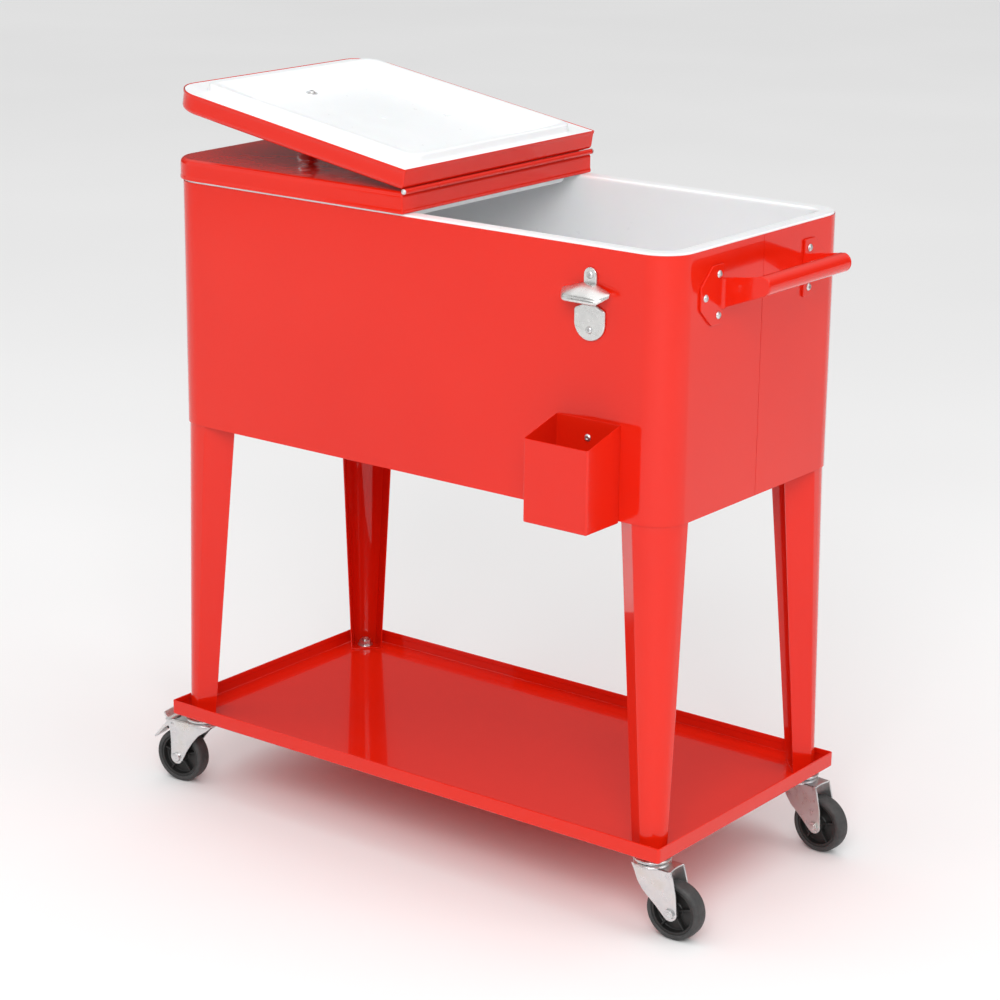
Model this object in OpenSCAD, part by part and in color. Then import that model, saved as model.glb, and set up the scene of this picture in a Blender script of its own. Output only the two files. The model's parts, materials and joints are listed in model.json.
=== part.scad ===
// Rolling patio cooler: an insulated tub in a painted steel shell, two hinged half lids,
// a push handle, a bottle opener with its cap catcher, and four legs on a tray with casters.
// X runs along the length, Y from front to back, Z up. The origin is on the floor under
// the middle of the tub. The right lid is drawn folded back onto the closed left lid.

/* [Body] */
// Length of the steel shell
body_length = 790; // [700:5:860]
// Depth of the steel shell, front to back
body_depth = 388; // [340:2:420]
// Height of the steel shell
body_height = 325; // [280:5:360]
// Height of the shell's lower edge above the floor
body_bottom = 524; // [480:2:560]
// Radius of the shell's upright corners
corner_radius = 42; // [30:1:55]
// Thickness of the sheet steel
sheet = 1; // [0.8:0.1:1.5]
// Thickness of the foam between shell and tub, with the tub's wall
wall_depth = 22; // [18:1:30]
// Thickness of the moulded plastic
plastic = 2.5; // [2:0.1:3.5]

/* [Lids] */
// How far a lid stands out past the shell
lid_overhang = 4; // [3:0.5:6]
// Height of a lid's skirt
lid_height = 27; // [24:1:32]
// How far the plug under a lid reaches down into the tub
plug_height = 9.5; // [6:0.5:12]
// Angle between the folded right lid and the closed left lid
fold_angle = 9.2; // [9.2:0.1:14]
// Height of a knob
knob_height = 26.9; // [20:0.1:26.9]
// Diameter of a knob
knob_diameter = 32; // [24:1:36]

/* [Handle] */
// Length of the grip tube
grip_length = 180; // [150:5:220]
// Diameter of the grip tube
grip_diameter = 24; // [20:1:28]
// Distance from the shell's end to the middle of the grip
grip_reach = 55; // [45:1:70]

/* [Legs and tray] */
// Length of the tray
tray_length = 810; // [804:1:820]
// Depth of the tray
tray_depth = 408; // [402:1:416]
// Height of the tray's wall
tray_wall = 20; // [15:1:30]
// Height of the tray's underside above the floor
tray_bottom = 106; // [104:1:110]
// Width of a leg's face at the top, from its corner
leg_top = 82; // [72:1:88]
// Width of a leg's face at the foot, from its corner
leg_foot = 45; // [42:1:50]

/* [Casters] */
// Diameter of a wheel
wheel_diameter = 75; // [70:1:76]
// Width of a wheel
wheel_width = 22; // [18:1:24]
// Distance from the swivel axis to the axle
caster_trail = 36; // [34:1:37]

/* [Hidden] */

$fn = 48;
RED = "#e8342a";
WHITE = "#f4f5f7";
ZINC = "#d4d6d6";
BLACK = "#1c1c1c";
FOAM = "#e9dfae";

// Levels and half sizes of the body
half_l = body_length / 2;
half_d = body_depth / 2;
body_top = body_bottom + body_height;
rim_top = body_top + plastic;
panel_z = body_bottom + 16;
panel_lip = 12;
tub_floor = panel_z + wall_depth;
tub_radius = 24;
fit = 0.1;

// Levels of the lids and the hinge between them
lid_bottom = rim_top + 0.4;
lid_top = lid_bottom + lid_height;
lid_radius = corner_radius + lid_overhang;
lid_end = half_l + lid_overhang;
lid_half_d = half_d + lid_overhang;
lid_gap = 1;
hinge_z = lid_top + 0.9;
rod_radius = 2.5;
rod_fit = 0.05;
knuckle_radius = 4.5;
knuckle_clearance = 0.4;
knuckle_count = 6;
rod_head = 3.6;
knuckle_length = 2 * (lid_half_d - 3) / knuckle_count;
knob_x = 325;
recess_depth = 12;
liner = 1.5;

// Handle
bracket_thick = 3;
bracket_y = grip_length / 2;
bracket_z = body_top - 56;
grip_z = bracket_z + 15;
screw_radius = 2.5;
screw_hole = 2.7;
bracket_screws = [[11, 24.5], [39, 0], [11, -24.5]];

// Bottle opener and cap catcher, both on the front
opener_x = 281;
opener_z = body_top - 67;
opener_screws_z = [34, -32];
catcher_width = 93;
catcher_depth = 66;
catcher_bottom = body_bottom - 3;
catcher_front = 103;
catcher_back = 121;
catcher_screws_z = [98, 38];

// Legs
leg_x = half_l - 2;
leg_y = half_d - 2.3;
leg_sheet = 1.5;
tray_sheet = 1.2;
leg_low = tray_bottom + tray_sheet;
leg_high = panel_z - fit;
leg_lip = 0.3;
leg_foot_face = 0.52;
leg_top_face = 0.6;
leg_foot_nose = 21;
leg_top_nose = 40;
leg_plate = 2;
tray_radius = 4;

// Casters
swivel_x = 375;
swivel_y = 173;
stem_radius = 5;
axle_radius = 4;
axle_z = wheel_diameter / 2;
crown_low = 90;
crown_thick = 2.5;
race_radius = 24.5;
race_low = 96;
fork_sheet = 2.5;
fork_inner = wheel_width / 2 + 3;
fork_boss = 10;
pedal_width = 2 * fork_inner - 1;
pin_radius = 3;
pin_u = 43;
pin_z = 85.5;
headings = [-172, 3, 184, -4.5];

// --- Plan outlines -----------------------------------------------------------------

// Rectangle centred on the origin with four rounded corners
module rounded(half_x, half_y, r) {
    square([2 * half_x, 2 * (half_y - r)], center = true);
    square([2 * (half_x - r), 2 * half_y], center = true);
    for (sx = [-1, 1], sy = [-1, 1])
        translate([sx * (half_x - r), sy * (half_y - r)])
            circle(r);
}

// Plan of a lid on the +X side, with two round corners at its free end
module lid_plan(x0, x1, half_y, r) {
    translate([x0, -half_y])
        square([x1 - x0 - r, 2 * half_y]);
    translate([x0, -(half_y - r)])
        square([x1 - x0, 2 * (half_y - r)]);
    for (sy = [-1, 1])
        translate([x1 - r, sy * (half_y - r)])
            circle(r);
}

// A slab of an outline between two heights
module slab(z0, z1) {
    translate([0, 0, z0])
        linear_extrude(z1 - z0)
            children();
}

// --- Fasteners ---------------------------------------------------------------------

// Button-head screw with its head on z = 0, pointing down
module button_screw(length, radius = screw_radius, head = 4.6, rise = 2.6) {
    rotate_extrude()
        polygon([[0, -length], [radius * 0.6, -length], [radius, -length + 2], [radius, 0],
            [head, 0], [head, rise * 0.45], [head * 0.7, rise * 0.85], [1.6, rise],
            [1.6, rise * 0.4], [0, rise * 0.4]]);
}

// Places children at each handle screw of one bracket, pointing out of the end
module at_bracket_screws(side) {
    for (s = bracket_screws)
        translate([0, side * (bracket_y + s[0]), bracket_z + s[1]])
            rotate([0, 90, 0])
                children();
}

// Places children at the bottle opener's screws, pointing out of the front
module at_opener_screws() {
    for (z = opener_screws_z)
        translate([opener_x, 0, opener_z + z])
            rotate([90, 0, 0])
                children();
}

// Places children at the cap catcher's screws, pointing out of the front
module at_catcher_screws() {
    for (z = catcher_screws_z)
        translate([opener_x, 0, catcher_bottom + z])
            rotate([90, 0, 0])
                children();
}

// Places children at the two top screws of one leg
module at_leg_screws(sx, sy) {
    for (s = [[46, 26], [26, 46]])
        translate([sx * (leg_x - s[0]), sy * (leg_y - s[1]), 0])
            children();
}

// --- Body --------------------------------------------------------------------------

module shell_wall() {
    slab(body_bottom, body_top)
        difference() {
            rounded(half_l, half_d, corner_radius);
            rounded(half_l - sheet, half_d - sheet, corner_radius - sheet);
        }
}

// Half of the shell, on one side of the seams at the middle of both ends
module shell_half(side) {
    seam = 0.4;
    color(RED)
        difference() {
            intersection() {
                shell_wall();
                translate([-body_length, side > 0 ? seam : -body_depth - seam, 0])
                    cube([2 * body_length, body_depth, 2 * body_top]);
            }
            translate([half_l, 0, 0])
                at_bracket_screws(side)
                    cylinder(r = screw_hole, h = 20, center = true);
            if (side < 0)
                translate([0, -half_d, 0]) {
                    at_opener_screws()
                        cylinder(r = screw_hole, h = 20, center = true);
                    at_catcher_screws()
                        cylinder(r = screw_hole, h = 20, center = true);
                }
        }
}

module shell_front() {
    shell_half(-1);
}

module shell_rear() {
    shell_half(1);
}

// Pressed panel that closes the shell's underside, with its lip turned up inside
module bottom_panel() {
    x = half_l - sheet - fit;
    y = half_d - sheet - fit;
    r = corner_radius - sheet - fit;
    color(RED)
        difference() {
            union() {
                slab(panel_z, panel_z + sheet)
                    rounded(x, y, r);
                slab(panel_z, panel_z + panel_lip)
                    difference() {
                        rounded(x, y, r);
                        rounded(x - sheet, y - sheet, r - sheet);
                    }
            }
            for (sx = [-1, 1], sy = [-1, 1])
                at_leg_screws(sx, sy)
                    translate([0, 0, panel_z])
                        cylinder(r = screw_hole, h = 20, center = true);
            drain_hole();
        }
}

// Insulation between the shell, the panel and the tub
module foam() {
    x = half_l - 2 * sheet - 2 * fit;
    y = half_d - 2 * sheet - 2 * fit;
    color(FOAM)
        difference() {
            slab(panel_z + sheet + fit, body_top - fit)
                rounded(x, y, corner_radius - 2 * sheet);
            slab(tub_floor - plastic - fit, body_top)
                tub_outline(plastic + fit);
            for (side = [-1, 1])
                translate([half_l, 0, 0])
                    at_bracket_screws(side)
                        cylinder(r = 3, h = 30, center = true);
            translate([0, -half_d, 0]) {
                at_opener_screws()
                    cylinder(r = 3, h = 30, center = true);
                at_catcher_screws()
                    cylinder(r = 3, h = 30, center = true);
            }
            for (sx = [-1, 1], sy = [-1, 1])
                at_leg_screws(sx, sy)
                    translate([0, 0, panel_z])
                        cylinder(r = 3, h = 30, center = true);
            drain_hole();
        }
}

module tub_outline(grow) {
    rounded(half_l - wall_depth + grow, half_d - wall_depth + grow, tub_radius + grow);
}

// White plastic tub with the rim that covers the shell's top edge
module tub() {
    color(WHITE)
        difference() {
            union() {
                slab(tub_floor - plastic, rim_top)
                    tub_outline(plastic);
                slab(body_top, rim_top)
                    rounded(half_l + 0.5, half_d + 0.5, corner_radius + 0.5);
            }
            slab(tub_floor, rim_top + 1)
                tub_outline(0);
            strainer();
        }
}

// Small holes through the tub's floor over the drain
module strainer() {
    hole_radius = 1.6;
    ring = 5;
    translate([drain_x, 0, tub_floor - plastic - 1]) {
        cylinder(r = hole_radius, h = plastic + 2);
        for (a = [0:60:300])
            rotate(a)
                translate([ring, 0, 0])
                    cylinder(r = hole_radius, h = plastic + 2);
    }
}

// Drain under the tub's floor, through the foam and the panel
drain_x = -300;
drain_radius = 9;
drain_low = body_bottom - 6;

module drain_hole() {
    translate([drain_x, 0, panel_z - 5])
        cylinder(r = drain_radius + fit, h = wall_depth + 10);
}

module drain_spout() {
    color(WHITE)
        translate([drain_x, 0, 0])
            difference() {
                union() {
                    translate([0, 0, drain_low])
                        cylinder(r = drain_radius, h = tub_floor - plastic - fit - drain_low);
                    translate([0, 0, panel_z - 3 - fit])
                        cylinder(r = drain_radius + 5, h = 3);
                }
                translate([0, 0, drain_low - 1])
                    cylinder(r = drain_radius - 2, h = 60);
            }
}

// Push-in plug that hangs under the drain
module drain_plug() {
    color(WHITE)
        translate([drain_x, 0, 0]) {
            translate([0, 0, drain_low - 0.4])
                cylinder(r = drain_radius - 2 - rod_fit, h = 12);
            translate([0, 0, drain_low - 6.4])
                cylinder(r = drain_radius + 3, h = 6);
            translate([-8, -1.5, drain_low - 14])
                cube([16, 3, 8]);
        }
}

// --- Handle ------------------------------------------------------------------------

// Outline of the bracket's plate, across the end of the body
module plate_outline(side) {
    low = side > 0 ? 0 : -48;
    difference() {
        polygon([for (p = [[0, -36], [24, -36], [48, -14], [48, 14], [24, 36], [0, 36]])
            [p[1], side * p[0]]]);
        for (s = bracket_screws)
            translate([s[1], side * s[0]])
                circle(screw_hole);
    }
}

// Bent bracket: a plate screwed to the shell and an arm out to the grip
module handle_bracket(side) {
    grip_r = grip_diameter / 2;
    color(RED) {
        translate([half_l, side * bracket_y, bracket_z])
            rotate([0, 90, 0])
                mirror([1, 0, 0])
                    linear_extrude(bracket_thick)
                        plate_outline(side);
        translate([0, side > 0 ? bracket_y + bracket_thick : -bracket_y, 0])
            rotate([90, 0, 0])
                linear_extrude(bracket_thick) {
                    polygon([[half_l, bracket_z - 18.5], [half_l, bracket_z + 18.5],
                        [half_l + grip_reach - 1.5, grip_z + grip_r - 0.1],
                        [half_l + grip_reach + 6, grip_z - grip_r + 1.6]]);
                    translate([half_l + grip_reach, grip_z])
                        circle(grip_r);
                }
    }
}

module handle_bracket_front() {
    handle_bracket(-1);
}

module handle_bracket_rear() {
    handle_bracket(1);
}

module handle_grip() {
    grip_r = grip_diameter / 2;
    color(RED)
        translate([half_l + grip_reach, 0, grip_z])
            rotate([90, 0, 0])
                difference() {
                    cylinder(r = grip_r, h = grip_length - 0.02, center = true);
                    cylinder(r = grip_r - 1.5, h = grip_length + 1, center = true);
                }
}

module handle_screws() {
    color(ZINC)
        for (side = [-1, 1])
            translate([half_l + bracket_thick, 0, 0])
                at_bracket_screws(side)
                    button_screw(16);
}

// --- Bottle opener -----------------------------------------------------------------

// Cast opener: a flat plate with a tab above and a hood that stands out over the cap
module bottle_opener() {
    plate = 3;
    tip = 2;
    tip_z = 15;
    color(ZINC)
        translate([opener_x, -half_d, opener_z]) {
            rotate([90, 0, 0])
                linear_extrude(plate)
                    difference() {
                        union() {
                            translate([0, 34])
                                circle(9);
                            translate([-9, 0])
                                square([18, 34]);
                            translate([-22, -23])
                                square([44, 33]);
                            translate([0, -23])
                                circle(22);
                        }
                        for (z = opener_screws_z)
                            translate([0, z])
                                circle(screw_hole);
                    }
            difference() {
                hull() {
                    translate([-34, -12, tip_z])
                        sphere(tip, $fn = 16);
                    translate([34, -12, tip_z])
                        sphere(tip, $fn = 16);
                    translate([0, -30, 6])
                        rotate([0, 90, 0])
                            cylinder(r = tip, h = 30, center = true, $fn = 16);
                    translate([-10, -plate, 24])
                        cube([20, plate, 2]);
                    translate([-22, -plate, 12])
                        cube([44, plate, 2]);
                    translate([0, -16, 19])
                        sphere(3, $fn = 16);
                }
                hull() {
                    translate([-30, -12, -8])
                        cube([60, 1, 20]);
                    translate([-13, -29, -8])
                        cube([26, 1, 13]);
                    translate([-14, -plate - 1, -8])
                        cube([28, 1, 24]);
                }
            }
        }
}

module opener_screws() {
    color(ZINC)
        translate([0, -half_d - 3, 0])
            at_opener_screws()
                button_screw(16);
}

// --- Cap catcher -------------------------------------------------------------------

// Side view of the catcher's outline, drawn as [y, z] from the shell outwards
function catcher_outline(inset, lid) = [
    [-inset, inset],
    [-catcher_depth + inset, inset],
    [-catcher_depth + inset, catcher_front + lid],
    [-inset, catcher_back + lid]];

module cap_catcher() {
    color(RED)
        translate([opener_x, -half_d, catcher_bottom])
            difference() {
                catcher_block(catcher_width, catcher_outline(0, 0));
                catcher_block(catcher_width - 2 * sheet, catcher_outline(sheet, 5));
                for (z = catcher_screws_z)
                    translate([0, 0, z])
                        rotate([90, 0, 0])
                            cylinder(r = screw_hole, h = 4, center = true);
            }
}

module catcher_block(width, outline) {
    translate([-width / 2, 0, 0])
        rotate([90, 0, 90])
            linear_extrude(width)
                polygon(outline);
}

module catcher_screws() {
    color(ZINC)
        translate([0, -half_d - sheet, 0])
            at_catcher_screws()
                button_screw(14);
}

// --- Legs --------------------------------------------------------------------------

// Outline of a leg's sheet from one free edge to the other, as distances in from its
// outer corner: a lip, a face, the round corner, the other face and the other lip. part is
// the share of the width that lies flat in the face.
function leg_path(w, part, r, t) =
    let (face = part * w, lip = leg_lip * w, n = 8,
        slope = atan2(lip, w - face), back = t * tan(slope / 2),
        end_x = w - t * sin(slope), end_y = lip + t * cos(slope))
    concat(
        [[end_y, end_x], [t, face - back]],
        [for (i = [0:n]) let (a = 90 * i / n)
            [r - (r - t) * cos(a), r - (r - t) * sin(a)]],
        [[face - back, t], [end_x, end_y]]);

// Leg as a sheet between its outlines at the foot and at the top
module leg_sheet_body() {
    foot = [for (t = [0, leg_sheet]) leg_path(leg_foot, leg_foot_face, leg_foot_nose, t)];
    top = [for (t = [0, leg_sheet]) leg_path(leg_top, leg_top_face, leg_top_nose, t)];
    n = len(foot[0]);
    foot_in = n;
    top_out = 2 * n;
    top_in = 3 * n;
    quads = concat(
        [for (i = [0:n - 2]) [i, top_out + i, top_out + i + 1, i + 1]],
        [for (i = [0:n - 2]) [foot_in + i, foot_in + i + 1, top_in + i + 1, top_in + i]],
        [for (i = [0:n - 2]) [i, i + 1, foot_in + i + 1, foot_in + i]],
        [for (i = [0:n - 2]) [top_out + i, top_in + i, top_in + i + 1, top_out + i + 1]],
        [[0, foot_in, top_in, top_out],
            [n - 1, top_out + n - 1, top_in + n - 1, foot_in + n - 1]]);
    polyhedron(
        points = concat(
            [for (ring = foot) for (p = ring) [p[0], p[1], leg_low]],
            [for (ring = top) for (p = ring) [p[0], p[1], leg_high]]),
        faces = [for (q = quads) for (half = [[q[0], q[1], q[2]], [q[0], q[2], q[3]]]) half]);
}

// Leg with a plate across its foot for the caster and one across its top for the panel
module leg(sx, sy) {
    color(RED)
        difference() {
            translate([sx * leg_x, sy * leg_y, 0])
                scale([-sx, -sy, 1]) {
                    leg_sheet_body();
                    slab(leg_low, leg_low + leg_plate)
                        polygon(leg_path(leg_foot, leg_foot_face, leg_foot_nose, leg_sheet / 2));
                    slab(leg_high - leg_plate, leg_high)
                        polygon(leg_path(leg_top, leg_top_face, leg_top_nose, leg_sheet / 2));
                }
            at_leg_screws(sx, sy)
                translate([0, 0, leg_high])
                    cylinder(r = screw_hole, h = 10, center = true);
            translate([sx * swivel_x, sy * swivel_y, leg_low])
                cylinder(r = stem_radius + fit, h = 20, center = true);
        }
}

module leg_front_left() {
    leg(-1, -1);
}

module leg_front_right() {
    leg(1, -1);
}

module leg_rear_left() {
    leg(-1, 1);
}

module leg_rear_right() {
    leg(1, 1);
}

module leg_screws() {
    color(ZINC)
        for (sx = [-1, 1], sy = [-1, 1])
            at_leg_screws(sx, sy)
                translate([0, 0, leg_high - leg_plate])
                    mirror([0, 0, 1])
                        button_screw(12);
}

// --- Tray --------------------------------------------------------------------------

module tray() {
    x = tray_length / 2;
    y = tray_depth / 2;
    color(RED)
        difference() {
            slab(tray_bottom, tray_bottom + tray_wall)
                rounded(x, y, tray_radius);
            slab(tray_bottom + tray_sheet, tray_bottom + tray_wall + 1)
                rounded(x - tray_sheet, y - tray_sheet, tray_radius - tray_sheet);
            for (sx = [-1, 1], sy = [-1, 1])
                translate([sx * swivel_x, sy * swivel_y, tray_bottom])
                    cylinder(r = stem_radius + fit, h = 10, center = true);
        }
}

module stem_nuts() {
    color(ZINC)
        for (sx = [-1, 1], sy = [-1, 1])
            translate([sx * swivel_x, sy * swivel_y, leg_low + leg_plate])
                difference() {
                    cylinder(r = 9, h = 8, $fn = 6);
                    translate([0, 0, -1])
                        cylinder(r = stem_radius + fit, h = 10);
                }
}

// --- Lids --------------------------------------------------------------------------

// Knuckles of one lid (parity 0 or 1) or the space that they turn in
module knuckles(parity, radius, grow) {
    for (i = [parity:2:knuckle_count - 1])
        translate([0, -lid_half_d + 3 + i * knuckle_length - grow, hinge_z])
            rotate([-90, 0, 0])
                cylinder(r = radius, h = knuckle_length - 0.6 + 2 * grow);
}

// Hole for the hinge rod, wider at both ends for its heads
module rod_bore() {
    translate([0, 0, hinge_z])
        for (side = [-1, 1])
            rotate([side * 90, 0, 0]) {
                cylinder(r = rod_radius + rod_fit, h = body_depth);
                translate([0, 0, lid_half_d - 3])
                    cylinder(r = rod_head + knuckle_clearance, h = body_depth);
            }
}

// Closed lid on the +X side; parity says which knuckles are its own
module lid_shell(parity) {
    color(RED)
        difference() {
            union() {
                slab(lid_bottom, lid_top)
                    lid_plan(lid_gap, lid_end, lid_half_d, lid_radius);
                knuckles(parity, knuckle_radius, 0);
            }
            slab(lid_bottom - 1, lid_top - sheet)
                lid_plan(lid_gap + sheet, lid_end - sheet, lid_half_d - sheet, lid_radius - sheet);
            knuckles(1 - parity, knuckle_radius + knuckle_clearance, 0.6);
            rod_bore();
            translate([knob_x, 0, lid_top])
                cylinder(r = screw_hole, h = 10, center = true);
        }
}

// Truncated pyramid hollow in the underside of the liner, grown by the liner's thickness
module recess(grow) {
    floor_z = lid_bottom + recess_depth + grow;
    hull() {
        slab(lid_bottom - plug_height - 0.01, lid_bottom - plug_height)
            lid_recess_plan(22 - grow, 360 + grow, half_d - wall_depth - 13 + grow);
        slab(floor_z - 0.01, floor_z)
            lid_recess_plan(46 - grow, 340 + grow, 104 + grow);
    }
}

module lid_recess_plan(x0, x1, half_y) {
    translate([(x0 + x1) / 2, 0])
        rounded((x1 - x0) / 2, half_y, 12, $fn = 32);
}

module plug_plan(inset) {
    lid_plan(14 + inset, half_l - wall_depth - 4 - inset, half_d - wall_depth - 4 - inset, 20 - inset);
}

// Formed plastic liner: flange, plug wall, land and the shallow recess
module lid_liner() {
    inner = sheet + fit;
    color(WHITE)
        difference() {
            union() {
                difference() {
                    union() {
                        slab(lid_bottom + 0.4, lid_bottom + 0.4 + liner)
                            lid_plan(lid_gap + inner, lid_end - inner, lid_half_d - inner,
                                lid_radius - inner);
                        slab(lid_bottom - plug_height, lid_bottom + 1)
                            plug_plan(0);
                    }
                    slab(lid_bottom - plug_height + liner, lid_bottom + 5)
                        plug_plan(liner);
                }
                recess(liner);
            }
            recess(0);
            translate([knob_x, 0, lid_bottom])
                cylinder(r = screw_hole, h = 40, center = true);
        }
}

// Insulation in a lid, between its steel top and the liner
module lid_foam() {
    inner = sheet + fit;
    color(FOAM)
        difference() {
            union() {
                slab(lid_bottom + 0.4 + liner + fit, lid_top - sheet - fit)
                    lid_plan(6.5, lid_end - inner, lid_half_d - inner, lid_radius - inner);
                slab(lid_bottom - plug_height + liner + fit, lid_bottom + 3)
                    plug_plan(liner + fit);
            }
            recess(liner + fit);
            translate([knob_x, 0, lid_top])
                cylinder(r = screw_hole, h = 60, center = true);
        }
}

module knob() {
    r = knob_diameter / 2;
    h = knob_height;
    color(ZINC)
        translate([knob_x, 0, lid_top])
            difference() {
                rotate_extrude() {
                    polygon([[0, 0], [9, 0], [9, 1.5], [6.5, 4], [6, 9], [8, h - 14],
                        [r - 2, h - 10.5], [r, h - 8], [r, h - 6.5], [r - 1, h - 4.5],
                        [r - 4, h - 2.2], [r - 9, h - 0.6], [2, h], [0, h]]);
                }
                translate([0, 0, -1])
                    cylinder(r = screw_radius + fit, h = 16);
            }
}

module knob_screw() {
    floor_z = lid_bottom + recess_depth;
    color(ZINC)
        translate([knob_x, 0, floor_z])
            mirror([0, 0, 1])
                button_screw(lid_top - floor_z + 13);
}

// Turns a closed right lid over onto the closed left lid
module folded() {
    translate([0, 0, hinge_z])
        rotate([0, -(180 - fold_angle), 0])
            translate([0, 0, -hinge_z])
                children();
}

module left_lid_shell() {
    mirror([1, 0, 0])
        lid_shell(0);
}

module left_lid_liner() {
    mirror([1, 0, 0])
        lid_liner();
}

module left_lid_foam() {
    mirror([1, 0, 0])
        lid_foam();
}

module left_knob() {
    mirror([1, 0, 0])
        knob();
}

module left_knob_screw() {
    mirror([1, 0, 0])
        knob_screw();
}

module right_lid_shell() {
    folded()
        lid_shell(1);
}

module right_lid_liner() {
    folded()
        lid_liner();
}

module right_lid_foam() {
    folded()
        lid_foam();
}

module right_knob() {
    folded()
        knob();
}

module right_knob_screw() {
    folded()
        knob_screw();
}

// Rod through the knuckles of both lids, with a rounded head at each end
module hinge_rod() {
    end = lid_half_d - 1;
    color(ZINC)
        translate([0, 0, hinge_z])
            rotate([90, 0, 0])
                rotate_extrude()
                    polygon([[0, -end - 1.6], [2.4, -end - 1.2], [rod_head, -end],
                        [rod_head, -end + 1.4], [rod_radius, -end + 1.4],
                        [rod_radius, end - 1.4], [rod_head, end - 1.4], [rod_head, end],
                        [2.4, end + 1.2], [0, end + 1.6]]);
}

// --- Casters -----------------------------------------------------------------------

// Corner i of the tray: 0 front left, 1 front right, 2 rear left, 3 rear right
function corner_at(i) = [(i % 2 == 0 ? -1 : 1) * swivel_x, (i < 2 ? -1 : 1) * swivel_y, 0];

// Puts a caster drawn with its trail along +X at its corner and heading
module at_caster(i) {
    translate(corner_at(i))
        rotate([0, 0, headings[i]])
            children();
}

// Threaded stem with the fixed race above the fork and the riveted head below it
module stem(i) {
    under = crown_low - 0.4;
    color(ZINC)
        translate(corner_at(i))
            rotate_extrude()
                polygon([[0, under - 4], [6, under - 4], [8, under - 2.5], [8, under],
                    [stem_radius, under], [stem_radius, race_low],
                    [race_radius - 2.5, race_low], [race_radius - 0.6, race_low + 1],
                    [race_radius, race_low + 2.6], [race_radius - 0.6, race_low + 4.2],
                    [race_radius - 3, race_low + 5.4], [17, race_low + 6],
                    [15, tray_bottom], [stem_radius, tray_bottom],
                    [stem_radius, leg_low + 12], [stem_radius - 1, leg_low + 13],
                    [0, leg_low + 13]]);
}

// Side views of a fork, from the top behind the swivel down to the axle and up again
function plain_fork() = [
    [-22, crown_low + crown_thick], [-17, 85], [-11, 70], [-3, 59], [6.5, 51], [16, 43],
    [caster_trail - 7, axle_z - 7.1], [caster_trail + 9.9, axle_z - 1.4],
    [44.2, 62], [38.5, 85], [36, crown_low + crown_thick]];

function braked_fork() = [
    [-24, crown_low + crown_thick], [-13, 83.5], [-1, 75.5], [8.5, 64.5], [19, 49],
    [caster_trail - 8.8, axle_z - 4.8], [caster_trail + 9.5, axle_z + 3],
    [45.5, 72], [48.5, 82], [54, crown_low + crown_thick]];

module fork_side(i) {
    difference() {
        union() {
            polygon(has_brake(i) ? braked_fork() : plain_fork());
            translate([caster_trail, axle_z])
                circle(fork_boss);
        }
        translate([caster_trail, axle_z])
            circle(axle_radius + rod_fit);
        if (has_brake(i))
            translate([pin_u, pin_z])
                circle(pin_radius + rod_fit);
    }
}

// Pressed fork: a crown with the moving race on it, and two sides down to the axle
module fork(i) {
    half = fork_inner + fork_sheet;
    color(ZINC)
        at_caster(i) {
            for (side = [-1, 1])
                translate([0, side > 0 ? half : -fork_inner, 0])
                    rotate([90, 0, 0])
                        linear_extrude(fork_sheet)
                            fork_side(i);
            difference() {
                union() {
                    slab(crown_low, crown_low + crown_thick)
                        fork_crown_plan(i, half);
                    slab(crown_low, race_low - 1.9)
                        circle(race_radius - 0.5);
                    slab(crown_low, race_low - 0.7)
                        circle(race_radius - 2);
                }
                cylinder(r = stem_radius + rod_fit, h = 2 * race_low);
                if (has_brake(i))
                    pedal_notch();
            }
        }
}

// Plan of the crown plate: round about the swivel, straight-sided over the wheel
module fork_crown_plan(i, half) {
    end = has_brake(i) ? 54 : 36;
    circle(race_radius - 0.5);
    translate([-10, -half])
        square([end + 10, 2 * half]);
}

// Opening in the crown that the brake pedal comes up through
module pedal_notch() {
    translate([38, -fork_inner - fit, crown_low - 1])
        cube([20, 2 * (fork_inner + fit), 10]);
}

// Axle bolt with its head outside one fork side and its nut outside the other
module axle(i) {
    out = fork_inner + fork_sheet;
    color(ZINC)
        at_caster(i)
            translate([caster_trail, 0, axle_z])
                rotate([90, 0, 0]) {
                    cylinder(r = axle_radius, h = 2 * out + 8, center = true);
                    translate([0, 0, out])
                        cylinder(r = 7, h = 3.4, $fn = 6);
                    translate([0, 0, -out - 3.2])
                        cylinder(r = 6.5, h = 3.2);
                }
}

// Moulded wheel centre: boss, thin web, ribs on both sides and the rim
module hub(i) {
    rim = wheel_diameter / 2 - 9;
    color(BLACK)
        at_caster(i)
            translate([caster_trail, 0, axle_z])
                rotate([90, 0, 0])
                    difference() {
                        union() {
                            cylinder(r = 9.5, h = wheel_width, center = true);
                            cylinder(r = rim, h = 4, center = true);
                            linear_extrude(wheel_width - 3, center = true)
                                difference() {
                                    circle(rim + 1.5);
                                    circle(rim - 2.5);
                                }
                            for (a = [0:72:359])
                                rotate([0, 0, a])
                                    translate([6, -1.2, -wheel_width / 2 + 3.5])
                                        cube([rim - 8, 2.4, wheel_width - 7]);
                        }
                        cylinder(r = axle_radius + rod_fit, h = 2 * wheel_width, center = true);
                    }
}

// Tread with rounded shoulders, moulded over the rim
module tyre(i) {
    r = wheel_diameter / 2;
    rim = r - 7.5;
    w = wheel_width / 2;
    color("#3a3a3b")
        at_caster(i)
            translate([caster_trail, 0, axle_z])
                rotate([90, 0, 0])
                    rotate_extrude($fn = 96)
                        polygon([[rim, -w + 1], [rim + 2, -w], [r - 3.5, -w], [r - 1, -w + 3.5],
                            [r, -w + 8], [r, w - 8], [r - 1, w - 3.5], [r - 3.5, w],
                            [rim + 2, w], [rim, w - 1]]);
}

function has_brake(i) = i % 2 == 0;

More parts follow.
